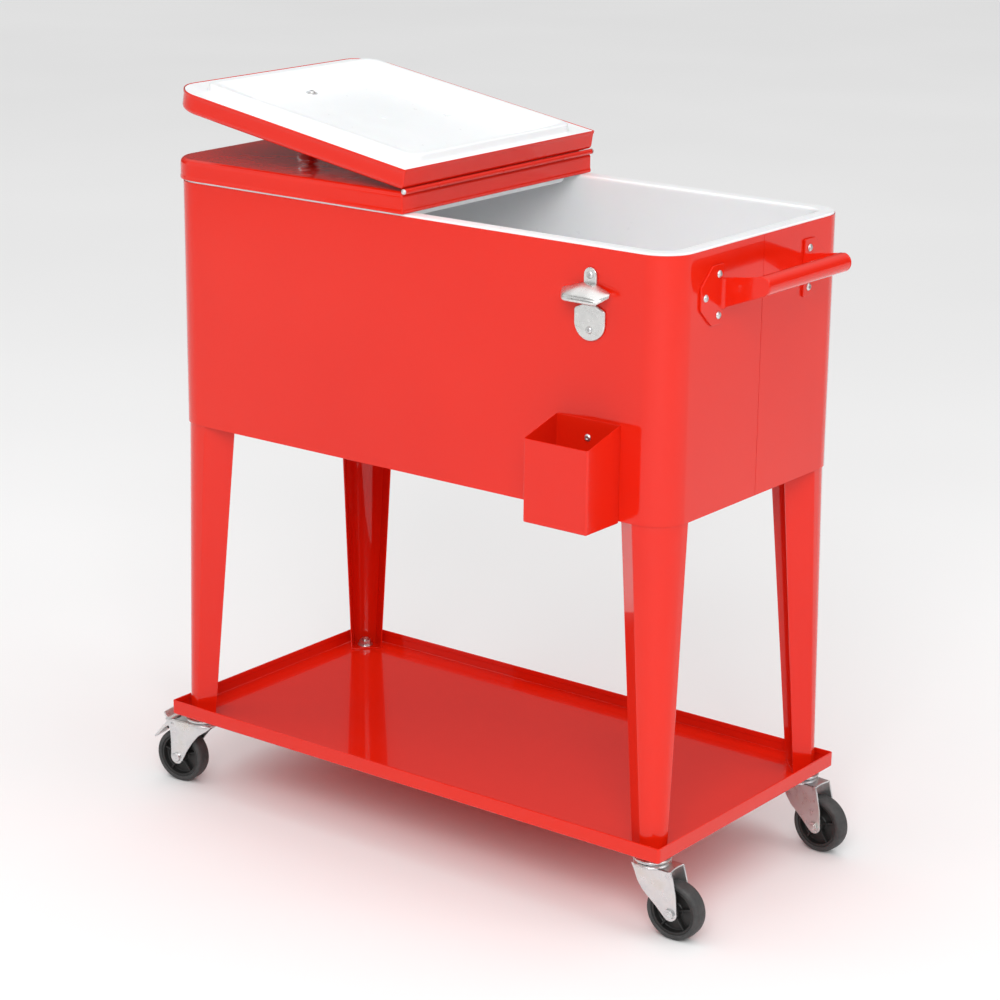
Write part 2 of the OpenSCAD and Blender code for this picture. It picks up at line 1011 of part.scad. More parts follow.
// Pressed pedal on a pin between the fork's sides: a lobe to step on and one to lift
module brake(i) {
    cheek = 2;
    color(ZINC)
        at_caster(i)
            rotate([90, 0, 0]) {
                linear_extrude(pedal_width, center = true)
                    polygon([[46.5, 89.5], [47.6, 86.6], [70.5, 62], [73.6, 59.2],
                        [75.4, 61.2], [73, 64.4], [52.5, 88.4], [54.2, 90.6], [57, 94.6],
                        [58.6, 100], [56.4, 100.6], [54.6, 96], [51.6, 92.2], [48, 91.2]]);
                for (side = [-1, 1])
                    translate([0, 0, side * (pedal_width / 2 - cheek / 2)])
                        linear_extrude(cheek, center = true)
                            polygon([[39, 87.5], [39, 83], [42, 80.5], [53, 79.5],
                                [60, 74.5], [48, 90], [44, 89]]);
                translate([pin_u, pin_z])
                    cylinder(r = pin_radius, h = 2 * (fork_inner + fork_sheet) + 2,
                        center = true);
            }
}

// Block under the pedal that is pressed onto the tread
module shoe(i) {
    inner = wheel_diameter / 2 + 3.1;
    outer = wheel_diameter / 2 + 4.35;
    color(BLACK)
        at_caster(i)
            translate([caster_trail, 0, axle_z])
                rotate([90, 0, 0])
                    linear_extrude(pedal_width - 10, center = true)
                        polygon(concat(
                            [for (a = [60:3.5:74]) [inner * cos(a), inner * sin(a)]],
                            [for (a = [72, 60])
                                [cos(a), sin(a)] * outer / cos(a - 43)]));
}

// --- What each node draws ----------------------------------------------------------

shell_front();
shell_rear();
bottom_panel();
foam();
tub();
drain_spout();
drain_plug();
handle_bracket_front();
handle_bracket_rear();
handle_grip();
handle_screws();
bottle_opener();
opener_screws();
cap_catcher();
catcher_screws();
leg_front_left();
leg_front_right();
leg_rear_left();
leg_rear_right();
leg_screws();
tray();
stem_nuts();
left_lid_shell();
left_lid_liner();
left_lid_foam();
left_knob();
left_knob_screw();
right_lid_shell();
right_lid_liner();
right_lid_foam();
right_knob();
right_knob_screw();
hinge_rod();
stem(0);  // stem_front_left
fork(0);  // fork_front_left
axle(0);  // axle_front_left
hub(0);  // hub_front_left
tyre(0);  // tyre_front_left
stem(1);  // stem_front_right
fork(1);  // fork_front_right
axle(1);  // axle_front_right
hub(1);  // hub_front_right
tyre(1);  // tyre_front_right
stem(2);  // stem_rear_left
fork(2);  // fork_rear_left
axle(2);  // axle_rear_left
hub(2);  // hub_rear_left
tyre(2);  // tyre_rear_left
stem(3);  // stem_rear_right
fork(3);  // fork_rear_right
axle(3);  // axle_rear_right
hub(3);  // hub_rear_right
tyre(3);  // tyre_rear_right
brake(0);  // brake_front_left
brake(2);  // brake_rear_left
shoe(0);  // shoe_front_left
shoe(2);  // shoe_rear_left
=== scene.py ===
import json
from math import atan2, cos, hypot, pi, radians, sin, tan

import bmesh
import bpy
from mathutils import Matrix, Vector


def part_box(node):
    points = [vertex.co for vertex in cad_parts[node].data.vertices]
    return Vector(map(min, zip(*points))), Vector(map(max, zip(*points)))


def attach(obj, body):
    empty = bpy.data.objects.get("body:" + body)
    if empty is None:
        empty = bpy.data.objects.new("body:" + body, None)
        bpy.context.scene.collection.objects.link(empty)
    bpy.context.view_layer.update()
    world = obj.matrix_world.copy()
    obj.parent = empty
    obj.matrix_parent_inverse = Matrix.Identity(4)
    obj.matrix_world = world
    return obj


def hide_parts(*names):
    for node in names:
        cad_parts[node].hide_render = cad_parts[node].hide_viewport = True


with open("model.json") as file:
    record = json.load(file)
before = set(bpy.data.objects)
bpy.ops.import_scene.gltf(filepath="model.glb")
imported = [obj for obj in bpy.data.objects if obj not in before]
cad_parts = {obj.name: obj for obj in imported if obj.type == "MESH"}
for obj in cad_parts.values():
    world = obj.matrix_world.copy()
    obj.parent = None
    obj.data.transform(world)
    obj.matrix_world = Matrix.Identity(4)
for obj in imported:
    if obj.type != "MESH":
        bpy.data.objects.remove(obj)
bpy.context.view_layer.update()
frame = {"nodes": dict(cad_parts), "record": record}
scene = bpy.context.scene
record = frame["record"]
joints = {j["name"]: j for j in record["behaviour"]["joints"]}
MM = 0.001
CORNERS = ("front_left", "front_right", "rear_left", "rear_right")
MERGE = 2e-6  # metres within which two points are one


def span(node):
    """Lowest and highest corner of a CAD node, in millimetres."""
    low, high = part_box(node)
    return [v / MM for v in low], [v / MM for v in high]


# ---------------------------------------------------------------- materials


class Nodes:
    """A new material and short calls for building its node tree."""

    def __init__(self, name):
        self.mat = bpy.data.materials.new(name)
        self.mat.use_nodes = True
        self.tree = self.mat.node_tree
        self.bsdf = self.tree.nodes["Principled BSDF"]
        self.coord = self.tree.nodes.new("ShaderNodeTexCoord").outputs["Object"]

    def link(self, a, b):
        self.tree.links.new(a, b)

    def set(self, **values):
        for key, value in values.items():
            self.bsdf.inputs[key.replace("_", " ")].default_value = value

    def stretched(self, scale):
        m = self.tree.nodes.new("ShaderNodeMapping")
        m.inputs["Scale"].default_value = scale
        self.link(self.coord, m.inputs["Vector"])
        return m.outputs["Vector"]

    def noise(self, scale, detail=3, rough=0.55, vector=None):
        n = self.tree.nodes.new("ShaderNodeTexNoise")
        n.inputs["Scale"].default_value = scale
        n.inputs["Detail"].default_value = detail
        n.inputs["Roughness"].default_value = rough
        self.link(vector or self.coord, n.inputs["Vector"])
        return n.outputs["Fac"]

    def ramp(self, fac, stops):
        r = self.tree.nodes.new("ShaderNodeValToRGB")
        r.color_ramp.elements[0].position = stops[0][0]
        r.color_ramp.elements[0].color = (*stops[0][1], 1)
        r.color_ramp.elements[1].position = stops[-1][0]
        r.color_ramp.elements[1].color = (*stops[-1][1], 1)
        for position, colour in stops[1:-1]:
            r.color_ramp.elements.new(position).color = (*colour, 1)
        self.link(fac, r.inputs["Fac"])
        return r.outputs["Color"]

    def band(self, fac, low, high, start=0.3, end=0.7):
        m = self.tree.nodes.new("ShaderNodeMapRange")
        m.inputs["From Min"].default_value = start
        m.inputs["From Max"].default_value = end
        m.inputs["To Min"].default_value = low
        m.inputs["To Max"].default_value = high
        self.link(fac, m.inputs["Value"])
        return m.outputs["Result"]

    def multiply(self, a, b, fac=1.0):
        m = self.tree.nodes.new("ShaderNodeMix")
        m.data_type = "RGBA"
        m.blend_type = "MULTIPLY"
        m.inputs["Factor"].default_value = fac
        self.link(a, m.inputs["A"])
        self.link(b, m.inputs["B"])
        return m.outputs["Result"]

    def pointiness(self):
        return self.tree.nodes.new("ShaderNodeNewGeometry").outputs["Pointiness"]

    def bump(self, *layers):
        """layers of (height socket, strength, distance in metres), coarse first."""
        normal = None
        for height, strength, distance in layers:
            b = self.tree.nodes.new("ShaderNodeBump")
            b.inputs["Strength"].default_value = strength
            b.inputs["Distance"].default_value = distance
            self.link(height, b.inputs["Height"])
            if normal:
                self.link(normal, b.inputs["Normal"])
            normal = b.outputs["Normal"]
        self.link(normal, self.bsdf.inputs["Normal"])

    def colour(self, socket):
        self.link(socket, self.bsdf.inputs["Base Color"])

    def rough(self, socket):
        self.link(socket, self.bsdf.inputs["Roughness"])


def gloss_paint():
    n = Nodes("red_powder_coat")
    base = n.ramp(n.noise(2.5, 2), [(0.3, (0.71, 0.013, 0.003)), (0.7, (0.76, 0.017, 0.004))])
    # Colour change along convex edges, from pointiness: partly paint thinning there and partly a
    # painted highlight on the edges
    edge_wear_and_highlight = n.ramp(n.pointiness(), [(0.5, (1, 1, 1)), (0.56, (1, 1, 1)), (0.7, (1, 0.82, 0.8))])
    n.colour(n.multiply(base, edge_wear_and_highlight))
    n.rough(n.band(n.noise(35, 4, 0.6), 0.15, 0.24))
    n.set(Specular_IOR_Level=0.1, Coat_Weight=0.6, Coat_Roughness=0.03, Coat_IOR=1.5)
    n.bump((n.noise(7, 1), 0.05, 0.002), (n.noise(600, 2, 0.5), 0.05, 0.0003))
    return n.mat


def white_plastic():
    n = Nodes("white_moulded_plastic")
    n.colour(n.ramp(n.noise(4, 4, 0.6), [(0.3, (0.87, 0.88, 0.89)), (0.7, (0.91, 0.915, 0.925))]))
    n.rough(n.band(n.noise(60, 5, 0.65), 0.27, 0.42))
    n.set(IOR=1.48, Subsurface_Weight=0.06, Subsurface_Scale=0.004)
    n.bump((n.noise(14, 2), 0.06, 0.002), (n.noise(1500, 2), 0.08, 0.0001))
    return n.mat


def foam_material():
    n = Nodes("insulation_foam")
    n.colour(n.ramp(n.noise(120, 5), [(0.35, (0.70, 0.60, 0.36)), (0.65, (0.80, 0.72, 0.48))]))
    n.rough(n.band(n.noise(300, 3), 0.75, 0.95))
    n.bump((n.noise(500, 4), 0.5, 0.0008))
    return n.mat


def zinc():
    n = Nodes("zinc_plated_steel")
    cloud = n.noise(38, 5, 0.6)
    n.colour(n.ramp(cloud, [(0.3, (0.60, 0.615, 0.63)), (0.5, (0.70, 0.70, 0.70)),
                            (0.7, (0.66, 0.64, 0.60))]))
    n.rough(n.band(n.noise(90, 5, 0.7), 0.22, 0.42))
    n.set(Metallic=0.92)
    n.bump((n.noise(220, 4, vector=n.stretched((1, 1, 0.12))), 0.12, 0.0003),
           (n.noise(1800, 2), 0.08, 0.0001))
    return n.mat


def cast_satin():
    n = Nodes("satin_plated_casting")
    n.colour(n.ramp(n.noise(60, 4), [(0.3, (0.66, 0.66, 0.65)), (0.7, (0.76, 0.755, 0.74))]))
    n.rough(n.band(n.noise(140, 5, 0.7), 0.2, 0.38))
    n.set(Metallic=0.95)
    n.bump((n.noise(70, 3), 0.1, 0.001), (n.noise(1200, 4), 0.12, 0.0002))
    return n.mat


def polished():
    n = Nodes("polished_chrome")
    n.colour(n.ramp(n.noise(50, 3), [(0.3, (0.70, 0.70, 0.71)), (0.7, (0.78, 0.78, 0.78))]))
    n.rough(n.band(n.noise(160, 5, 0.7), 0.04, 0.13))
    n.set(Metallic=1.0)
    n.bump((n.noise(900, 3), 0.04, 0.0001))
    return n.mat


def hub_plastic():
    n = Nodes("black_moulded_plastic")
    n.colour(n.ramp(n.noise(45, 4), [(0.3, (0.010, 0.010, 0.010)), (0.7, (0.022, 0.021, 0.020))]))
    n.rough(n.band(n.noise(120, 4), 0.38, 0.6))
    n.bump((n.noise(1100, 3), 0.25, 0.0002))
    return n.mat


def rubber(name, dark, light):
    n = Nodes(name)
    n.colour(n.ramp(n.noise(70, 6, 0.7), [(0.3, dark), (0.7, light)]))
    n.rough(n.band(n.noise(200, 4), 0.5, 0.75))
    n.bump((n.noise(420, 5, 0.7), 0.3, 0.0004), (n.noise(2400, 2), 0.2, 0.0001))
    return n.mat


MATERIALS = {
    "red_paint": gloss_paint(),
    "white_plastic": white_plastic(),
    "foam": foam_material(),
    "cast_metal": cast_satin(),
    "chrome": polished(),
    "zinc": zinc(),
    "black_plastic": hub_plastic(),
    "tyre": rubber("tyre_rubber", (0.030, 0.030, 0.031), (0.058, 0.057, 0.056)),
    "shoe_rubber": rubber("shoe_rubber", (0.010, 0.010, 0.010), (0.022, 0.021, 0.020)),
}
slot_of = {s["node"]: s["material_slot"] for s in record["subparts"]}
for node, thing in frame["nodes"].items():
    thing.data.materials.clear()
    thing.data.materials.append(MATERIALS[slot_of[node]])


# ---------------------------------------------------------------- mesh tools


def flipped(move):
    """Whether a placement turns a downward face up."""
    return bool(move) and (move.to_3x3() @ Vector((0, 0, 1))).z < 0


class Shape:
    """Closed forms gathered into one mesh, in millimetres."""

    def __init__(self):
        self.verts = []
        self.faces = []

    def add(self, part, move=None):
        """Adds points and faces, moved by a matrix."""
        verts, faces = part
        start = len(self.verts)
        for v in verts:
            self.verts.append(move @ Vector(v) if move else Vector(v))
        self.faces += [tuple(i + start for i in f) for f in faces]
        return self

    def place(self, name, body, nodes=(), move=None, sharp=35, smooth=0, thick=0):
        """Makes the object, gives it its node's material, and rides it on its body. An open
        sheet whose last face looks down is given a thickness upwards."""
        mesh = bpy.data.meshes.new(name)
        points = [(move @ v if move else v) * MM for v in self.verts]
        mesh.from_pydata(points, [], self.faces)
        bm = bmesh.new()
        bm.from_mesh(mesh)
        bmesh.ops.remove_doubles(bm, verts=bm.verts, dist=MERGE)
        bmesh.ops.dissolve_degenerate(bm, edges=bm.edges, dist=1e-6)
        bmesh.ops.recalc_face_normals(bm, faces=bm.faces)
        bm.faces.ensure_lookup_table()
        if thick and (bm.faces[-1].normal.z > 0) == (not flipped(move)):
            bmesh.ops.reverse_faces(bm, faces=bm.faces)
        bm.to_mesh(mesh)
        bm.free()
        mesh.polygons.foreach_set("use_smooth", [True] * len(mesh.polygons))
        mesh.set_sharp_from_angle(angle=radians(sharp))
        slot = slot_of[nodes[0]]
        mesh.materials.append(MATERIALS[slot])
        obj = bpy.data.objects.new(name, mesh)
        scene.collection.objects.link(obj)
        if smooth:
            obj.modifiers.new("round", "SUBSURF").levels = smooth
            obj.modifiers["round"].render_levels = smooth
        if thick:
            obj.modifiers.new("sheet", "SOLIDIFY").thickness = thick * MM
        weights = obj.modifiers.new("normals", "WEIGHTED_NORMAL")
        weights.keep_sharp = True
        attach(obj, body)
        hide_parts(*nodes)
        return obj


def loft(rings, closed=True, ends=True, wrap=False):
    """Skin through rings of equal length. wrap joins the last ring to the first."""
    n = len(rings[0])
    faces = []
    for k in range(len(rings) if wrap else len(rings) - 1):
        m = (k + 1) % len(rings)
        for i in range(n if closed else n - 1):
            j = (i + 1) % n
            faces.append((k * n + i, k * n + j, m * n + j, m * n + i))
    if ends and closed:
        faces.append(tuple(range(n)))
        faces.append(tuple(range((len(rings) - 1) * n, len(rings) * n)))
    if ends and not closed:
        faces.append(tuple(k * n for k in range(len(rings))))
        faces.append(tuple(k * n + n - 1 for k in range(len(rings))))
    return [p for ring in rings for p in ring], faces


def lathe(profile, segments=48):
    """Turned form about Z through (radius, z) points."""
    rings = []
    for r, z in profile:
        rings.append([(r * cos(2 * pi * i / segments), r * sin(2 * pi * i / segments), z)
                      for i in range(segments)])
    return loft(rings)


def filleted(points, radii, steps=6, closed=True, share=0.49):
    """Polyline with each corner rounded to its radius, always with the same number of points.
    A corner takes at most its share of the lines on both sides."""
    out = []
    count = len(points)
    for i, (x, y) in enumerate(points):
        if not closed and i in (0, count - 1):
            out.append((x, y))
            continue
        r = radii[i] if isinstance(radii, (list, tuple)) else radii
        ax, ay = points[i - 1]
        bx, by = points[(i + 1) % count]
        la, lb = hypot(ax - x, ay - y), hypot(bx - x, by - y)
        ua, ub = ((ax - x) / la, (ay - y) / la), ((bx - x) / lb, (by - y) / lb)
        turn = ua[0] * ub[0] + ua[1] * ub[1]
        half = atan2(abs(ua[0] * ub[1] - ua[1] * ub[0]), turn) / 2
        if r <= 0 or half > pi / 2 - 0.01:
            out += [(x, y)] * (steps + 1)
            continue
        d = min(r / tan(half), share * la, share * lb)
        r = d * tan(half)
        mx, my = ua[0] + ub[0], ua[1] + ub[1]
        lm = hypot(mx, my)
        cx, cy = x + mx / lm * r / sin(half), y + my / lm * r / sin(half)
        start = atan2(y + ua[1] * d - cy, x + ua[0] * d - cx)
        end = atan2(y + ub[1] * d - cy, x + ub[0] * d - cx)
        sweep = (end - start + pi) % (2 * pi) - pi
        for k in range(steps + 1):
            a = start + sweep * k / steps
            out.append((cx + r * cos(a), cy + r * sin(a)))
    return out


def grown(points, distance):
    """Closed anticlockwise outline moved outwards by a distance."""
    out = []
    n = len(points)
    for i in range(n):
        x, y = points[i]
        normals = []
        for (ax, ay), (bx, by) in ((points[i - 1], points[i]), (points[i], points[(i + 1) % n])):
            length = hypot(bx - ax, by - ay)
            if length > 1e-7:
                normals.append(((by - ay) / length, (ax - bx) / length))
        if not normals:
            k = i
            while hypot(points[k - 1][0] - x, points[k - 1][1] - y) < 1e-7:
                k -= 1
            ax, ay = points[k - 1]
            length = hypot(x - ax, y - ay)
            normals.append(((y - ay) / length, (ax - x) / length))
        nx = sum(v[0] for v in normals)
        ny = sum(v[1] for v in normals)
        scale = distance * len(normals) / max(nx * nx + ny * ny, 1e-6)
        out.append((x + nx * scale, y + ny * scale))
    return out


def area(points):
    return sum(points[i - 1][0] * p[1] - p[0] * points[i - 1][1] for i, p in enumerate(points)) / 2


def plate(outline, low, high, edge=0.6, steps=3):
    """Flat plate between two levels, with its edges rounded."""
    if area(outline) < 0:
        outline = outline[::-1]
    rings = []
    for k in range(steps + 1):
        a = pi / 2 * k / steps
        rings.append([(x, y, low + edge - edge * cos(a)) for x, y in
                      grown(outline, -edge + edge * sin(a))])
    for k in range(steps + 1):
        a = pi / 2 * k / steps
        rings.append([(x, y, high - edge + edge * sin(a)) for x, y in
                      grown(outline, -edge + edge * cos(a))])
    return loft(rings)


def rounded_box(hx, hy, r, steps=10):
    """Rounded rectangle about the origin."""
    return filleted([(hx, -hy), (hx, hy), (-hx, hy), (-hx, -hy)], max(r, 0.5), steps)


def at_z(outline, z):
    return [(x, y, z) for x, y in outline]


def arc(cx, cz, r, start, end, steps=6):
    """Points on an arc, angles in degrees."""
    return [(cx + r * cos(radians(start + (end - start) * k / steps)),
             cz + r * sin(radians(start + (end - start) * k / steps))) for k in range(steps + 1)]


def turned(axis, degrees, at=(0, 0, 0)):
    """Rotation about an axis through a point."""
    point = Matrix.Translation(Vector(at))
    return point @ Matrix.Rotation(radians(degrees), 4, axis) @ point.inverted()


def apply_boolean(obj, cutter):
    """Cuts a working object into another one, for good."""
    mod = obj.modifiers.new("cut", "BOOLEAN")
    mod.operation = "DIFFERENCE"
    mod.solver = "EXACT"
    mod.use_self = True
    mod.object = cutter
    graph = bpy.context.evaluated_depsgraph_get()
    mesh = bpy.data.meshes.new_from_object(obj.evaluated_get(graph))
    obj.modifiers.remove(mod)
    obj.data = mesh
    bpy.data.objects.remove(cutter)


def raw_object(name, shape):
    """Working object that a cut is made in or with."""
    mesh = bpy.data.meshes.new(name)
    mesh.from_pydata([v * MM for v in shape.verts], [], shape.faces)
    bm = bmesh.new()
    bm.from_mesh(mesh)
    bmesh.ops.remove_doubles(bm, verts=bm.verts, dist=MERGE)
    bmesh.ops.recalc_face_normals(bm, faces=bm.faces)
    bm.to_mesh(mesh)
    bm.free()
    obj = bpy.data.objects.new(name, mesh)
    scene.collection.objects.link(obj)
    return obj


def shape_of(obj):
    """Turns a working object back into a shape, and removes it."""
    shape = Shape()
    shape.add(([v.co / MM for v in obj.data.vertices],
               [tuple(p.vertices) for p in obj.data.polygons]))
    bpy.data.objects.remove(obj)
    return shape


# Frames that carry a drawing's x, y, z onto another set of axes
ALONG_X = Matrix(((0, 0, 1, 0), (1, 0, 0, 0), (0, 1, 0, 0), (0, 0, 0, 1)))
ALONG_Y = Matrix(((1, 0, 0, 0), (0, 0, 1, 0), (0, 1, 0, 0), (0, 0, 0, 1)))


# ---------------------------------------------------------------- screws


def button_head(radius, height, socket, shank=6):
    """Domed head on z = 0 with a six-sided socket, and a short shank below."""
    segments = 48
    profile = [(radius * 0.5, -shank), (radius * 0.5, -0.01), (radius - 0.3, 0), (radius, 0.35)]
    profile += [(radius * cos(a), 0.35 + (height - 0.35) * sin(a) * 1.02)
                for a in (0.35, 0.7, 0.95, 1.15)]
    rings = [[(r * cos(2 * pi * i / segments), r * sin(2 * pi * i / segments), z)
              for i in range(segments)] for r, z in profile]
    for grow, z in ((1.12, height * 0.985), (1.0, height * 0.9), (0.98, height * 0.25)):
        ring = []
        for i in range(segments):
            a = 2 * pi * i / segments
            flat = (a + pi / 6) % (pi / 3) - pi / 6
            r = socket * grow / cos(flat)
            ring.append((r * cos(a), r * sin(a), z))
        rings.append(ring)
    return loft(rings)


def add_screws(name, node, normal, radius=4.6, height=2.6, socket=2.0):
    """One button head for each separate solid of a CAD screw group."""
    mesh = frame["nodes"][node].data
    bm = bmesh.new()
    bm.from_mesh(mesh)
    bmesh.ops.remove_doubles(bm, verts=bm.verts, dist=1e-6)
    shape = Shape()
    seen = set()
    axis = Vector(normal)
    turn = Vector((0, 0, 1)).rotation_difference(axis).to_matrix().to_4x4()
    for v in bm.verts:
        if v.index in seen:
            continue
        group, queue = [], [v]
        seen.add(v.index)
        while queue:
            p = queue.pop()
            group.append(p.co / MM)
            for e in p.link_edges:
                q = e.other_vert(p)
                if q.index not in seen:
                    seen.add(q.index)
                    queue.append(q)
        top = max(g.dot(axis) for g in group)
        middle = Vector([(min(g[i] for g in group) + max(g[i] for g in group)) / 2
                         for i in range(3)])
        seat = middle - axis * middle.dot(axis) + axis * (top - height)
        shape.add(button_head(radius, height, socket), Matrix.Translation(seat) @ turn)
    bm.free()
    shape.place(name, "cart", [node])


# ---------------------------------------------------------------- body shell and tub

shell_low, shell_high = span("shell_front")
half_l = shell_high[0]
half_d = -shell_low[1]
shell_z0, shell_z1 = shell_low[2], shell_high[2]
CORNER = 42  # radius of the body's upright corners
SEAM = -shell_high[1]


def shell_path(inset, side, seam):
    """Plan of one half of the wrap, from the seam at one end to the seam at the other."""
    x, y = half_l - inset, side * (half_d - inset)
    points = [(x, side * seam), (x, y), (-x, y), (-x, side * seam)]
    return filleted(points, CORNER - inset, 18, closed=False)


def shell_half(name, node, side):
    """Half of the wrap in 1 mm sheet; the rear half has the strips behind the two seams."""
    z0, z1 = shell_z0, shell_z1
    profile = [(1.0, z0 + 0.3), (0.75, z0), (0.25, z0), (0, z0 + 0.3), (0, z0 + 9),
               (0, z1 - 0.3), (0.25, z1), (0.75, z1), (1.0, z1 - 0.3)]
    shape = Shape()
    shape.add(loft([at_z(shell_path(i, side, SEAM), z) for i, z in profile],
                   closed=False, wrap=True))
    if side > 0:
        for end in (-1, 1):
            strip = filleted([(-9, z0 + 2), (9, z0 + 2), (9, z1 - 1), (-9, z1 - 1)], 2)
            move = Matrix.Translation((end * (half_l - 1.6), 0, 0)) @ ALONG_X
            shape.add(plate(strip, -0.4, 0.4, 0.2), move)
    shape.place(name, "cart", [node])


shell_half("shell_wrap_front", "shell_front", -1)
shell_half("shell_wrap_rear", "shell_rear", 1)

tub_low, tub_high = span("tub")
rim_z = tub_high[2]
floor_z = tub_low[2] + 2.5
WALL = 22  # from the shell's outside to the tub's inside
tub_x, tub_y = half_l - WALL, half_d - WALL


def tub_ring(inset, z, r=24):
    """Plan of the tub, inset from its inside, at a height."""
    return at_z(rounded_box(tub_x - inset, tub_y - inset, r - inset, 10), z)


rim_x, rim_y = tub_high[0] - 1.1, tub_high[1] - 1.1
tub_rings = [tub_ring(14, tub_low[2]), tub_ring(3, tub_low[2] + 3),
             tub_ring(-2.5, tub_low[2] + 16), tub_ring(-2.5, rim_z - 3.0)]
for inset, z in [(0.2, -2.5), (0, -1.9), (0, -1.2), (0.35, -0.45), (0.95, -0.06), (1.7, 0)]:
    tub_rings.append(at_z(rounded_box(rim_x - inset, rim_y - inset, 42.5 - inset), rim_z + z))
tub_rings += [tub_ring(-4, rim_z), tub_ring(-2.2, rim_z - 0.35), tub_ring(-0.8, rim_z - 1.4),
              tub_ring(-0.1, rim_z - 3.2), tub_ring(0, rim_z - 6), tub_ring(0.6, floor_z + 18)]
tub_rings += [tub_ring(x, z) for x, z in
              [(0.6 + 16 * (1 - cos(a)), floor_z + 18 - 18 * sin(a)) for a in
               [pi / 2 * k / 6 for k in range(1, 7)]]]
drain_low, drain_high = span("drain_spout")
drain_x = (drain_low[0] + drain_high[0]) / 2
tub_blank = raw_object("tub_blank", Shape().add(loft(tub_rings)))
holes = Shape()
hole_r, below, above = 1.6, tub_low[2] - 2, floor_z + 2
for x, y in [(0, 0)] + [(5 * cos(pi / 3 * k), 5 * sin(pi / 3 * k)) for k in range(6)]:
    holes.add(lathe([(0, below), (hole_r, below), (hole_r, above), (0, above)], 20),
              Matrix.Translation((drain_x + x, y, 0)))
apply_boolean(tub_blank, raw_object("cutter", holes))
shape_of(tub_blank).place("tub_moulding", "cart", ["tub"])

# ---------------------------------------------------------------- lids

rod_low, rod_high = span("hinge_rod")
hinge_z = (rod_low[2] + rod_high[2]) / 2
lid_low, lid_high = span("left_lid_shell")
lid_z0 = lid_low[2]
lid_h = 27  # height of a lid's shell
lid_x1, lid_y1 = -lid_low[0], lid_high[1]
FOLD = joints["right_lid_hinge"]["range_deg"][1]
KNUCKLES = 6
KNUCKLE = 2 * (lid_y1 - 3) / KNUCKLES


def lid_outline(x0, x1, y, r, near):
    """Plan of a lid: radius r at the cart's end, near at the hinge."""
    return filleted([(x1, -y), (x1, y), (x0, y), (x0, -y)], [r, r, near, near], 12)


def lid_ring(inset, z):
    """The shell's plan, inset, at a height above its lower edge."""
    return at_z(lid_outline(1 + inset, lid_x1 - inset, lid_y1 - inset, 46 - inset,
                            max(1.6 - inset * 0.2, 0.4)), lid_z0 + z)


def lid_shell_shape():
    """Hollow lid with a rolled lower edge, a step above it and a rounded top edge."""
    profile = [(7, lid_h - 1.4), (1.9, lid_h - 7), (1.7, 4.6), (1.15, 1.4), (0.95, 0.4),
               (0.6, 0.05), (0.3, 0.1), (0.06, 0.5), (0, 1.3), (0.02, 3.0), (0.3, 4.4),
               (0.6, 5.8), (0.6, 12), (0.6, 19.4)]
    profile += arc(7.6, lid_h - 7, 7, 180, 90, 10)
    profile += [(22, lid_h)]
    return Shape().add(loft([lid_ring(i, z) for i, z in profile]))


def rod_cylinder(radius, y0, y1, bore=0):
    """Tube or rod about the hinge axis between two stations along Y, with soft edges."""
    e = 0.35
    profile = [(radius - e, y0), (radius, y0 + e), (radius, y1 - e), (radius - e, y1)]
    if bore:
        profile = [(bore, y0)] + profile + [(bore, y1)]
    rings = [[(r * cos(2 * pi * i / 32), y, hinge_z + r * sin(2 * pi * i / 32))
              for i in range(32)] for r, y in profile]
    return loft(rings, ends=not bore, wrap=bool(bore))


def knuckle_span(i):
    """Both ends of a hinge knuckle along Y."""
    start = -lid_y1 + 3 + i * KNUCKLE
    return start, start + KNUCKLE - 0.6


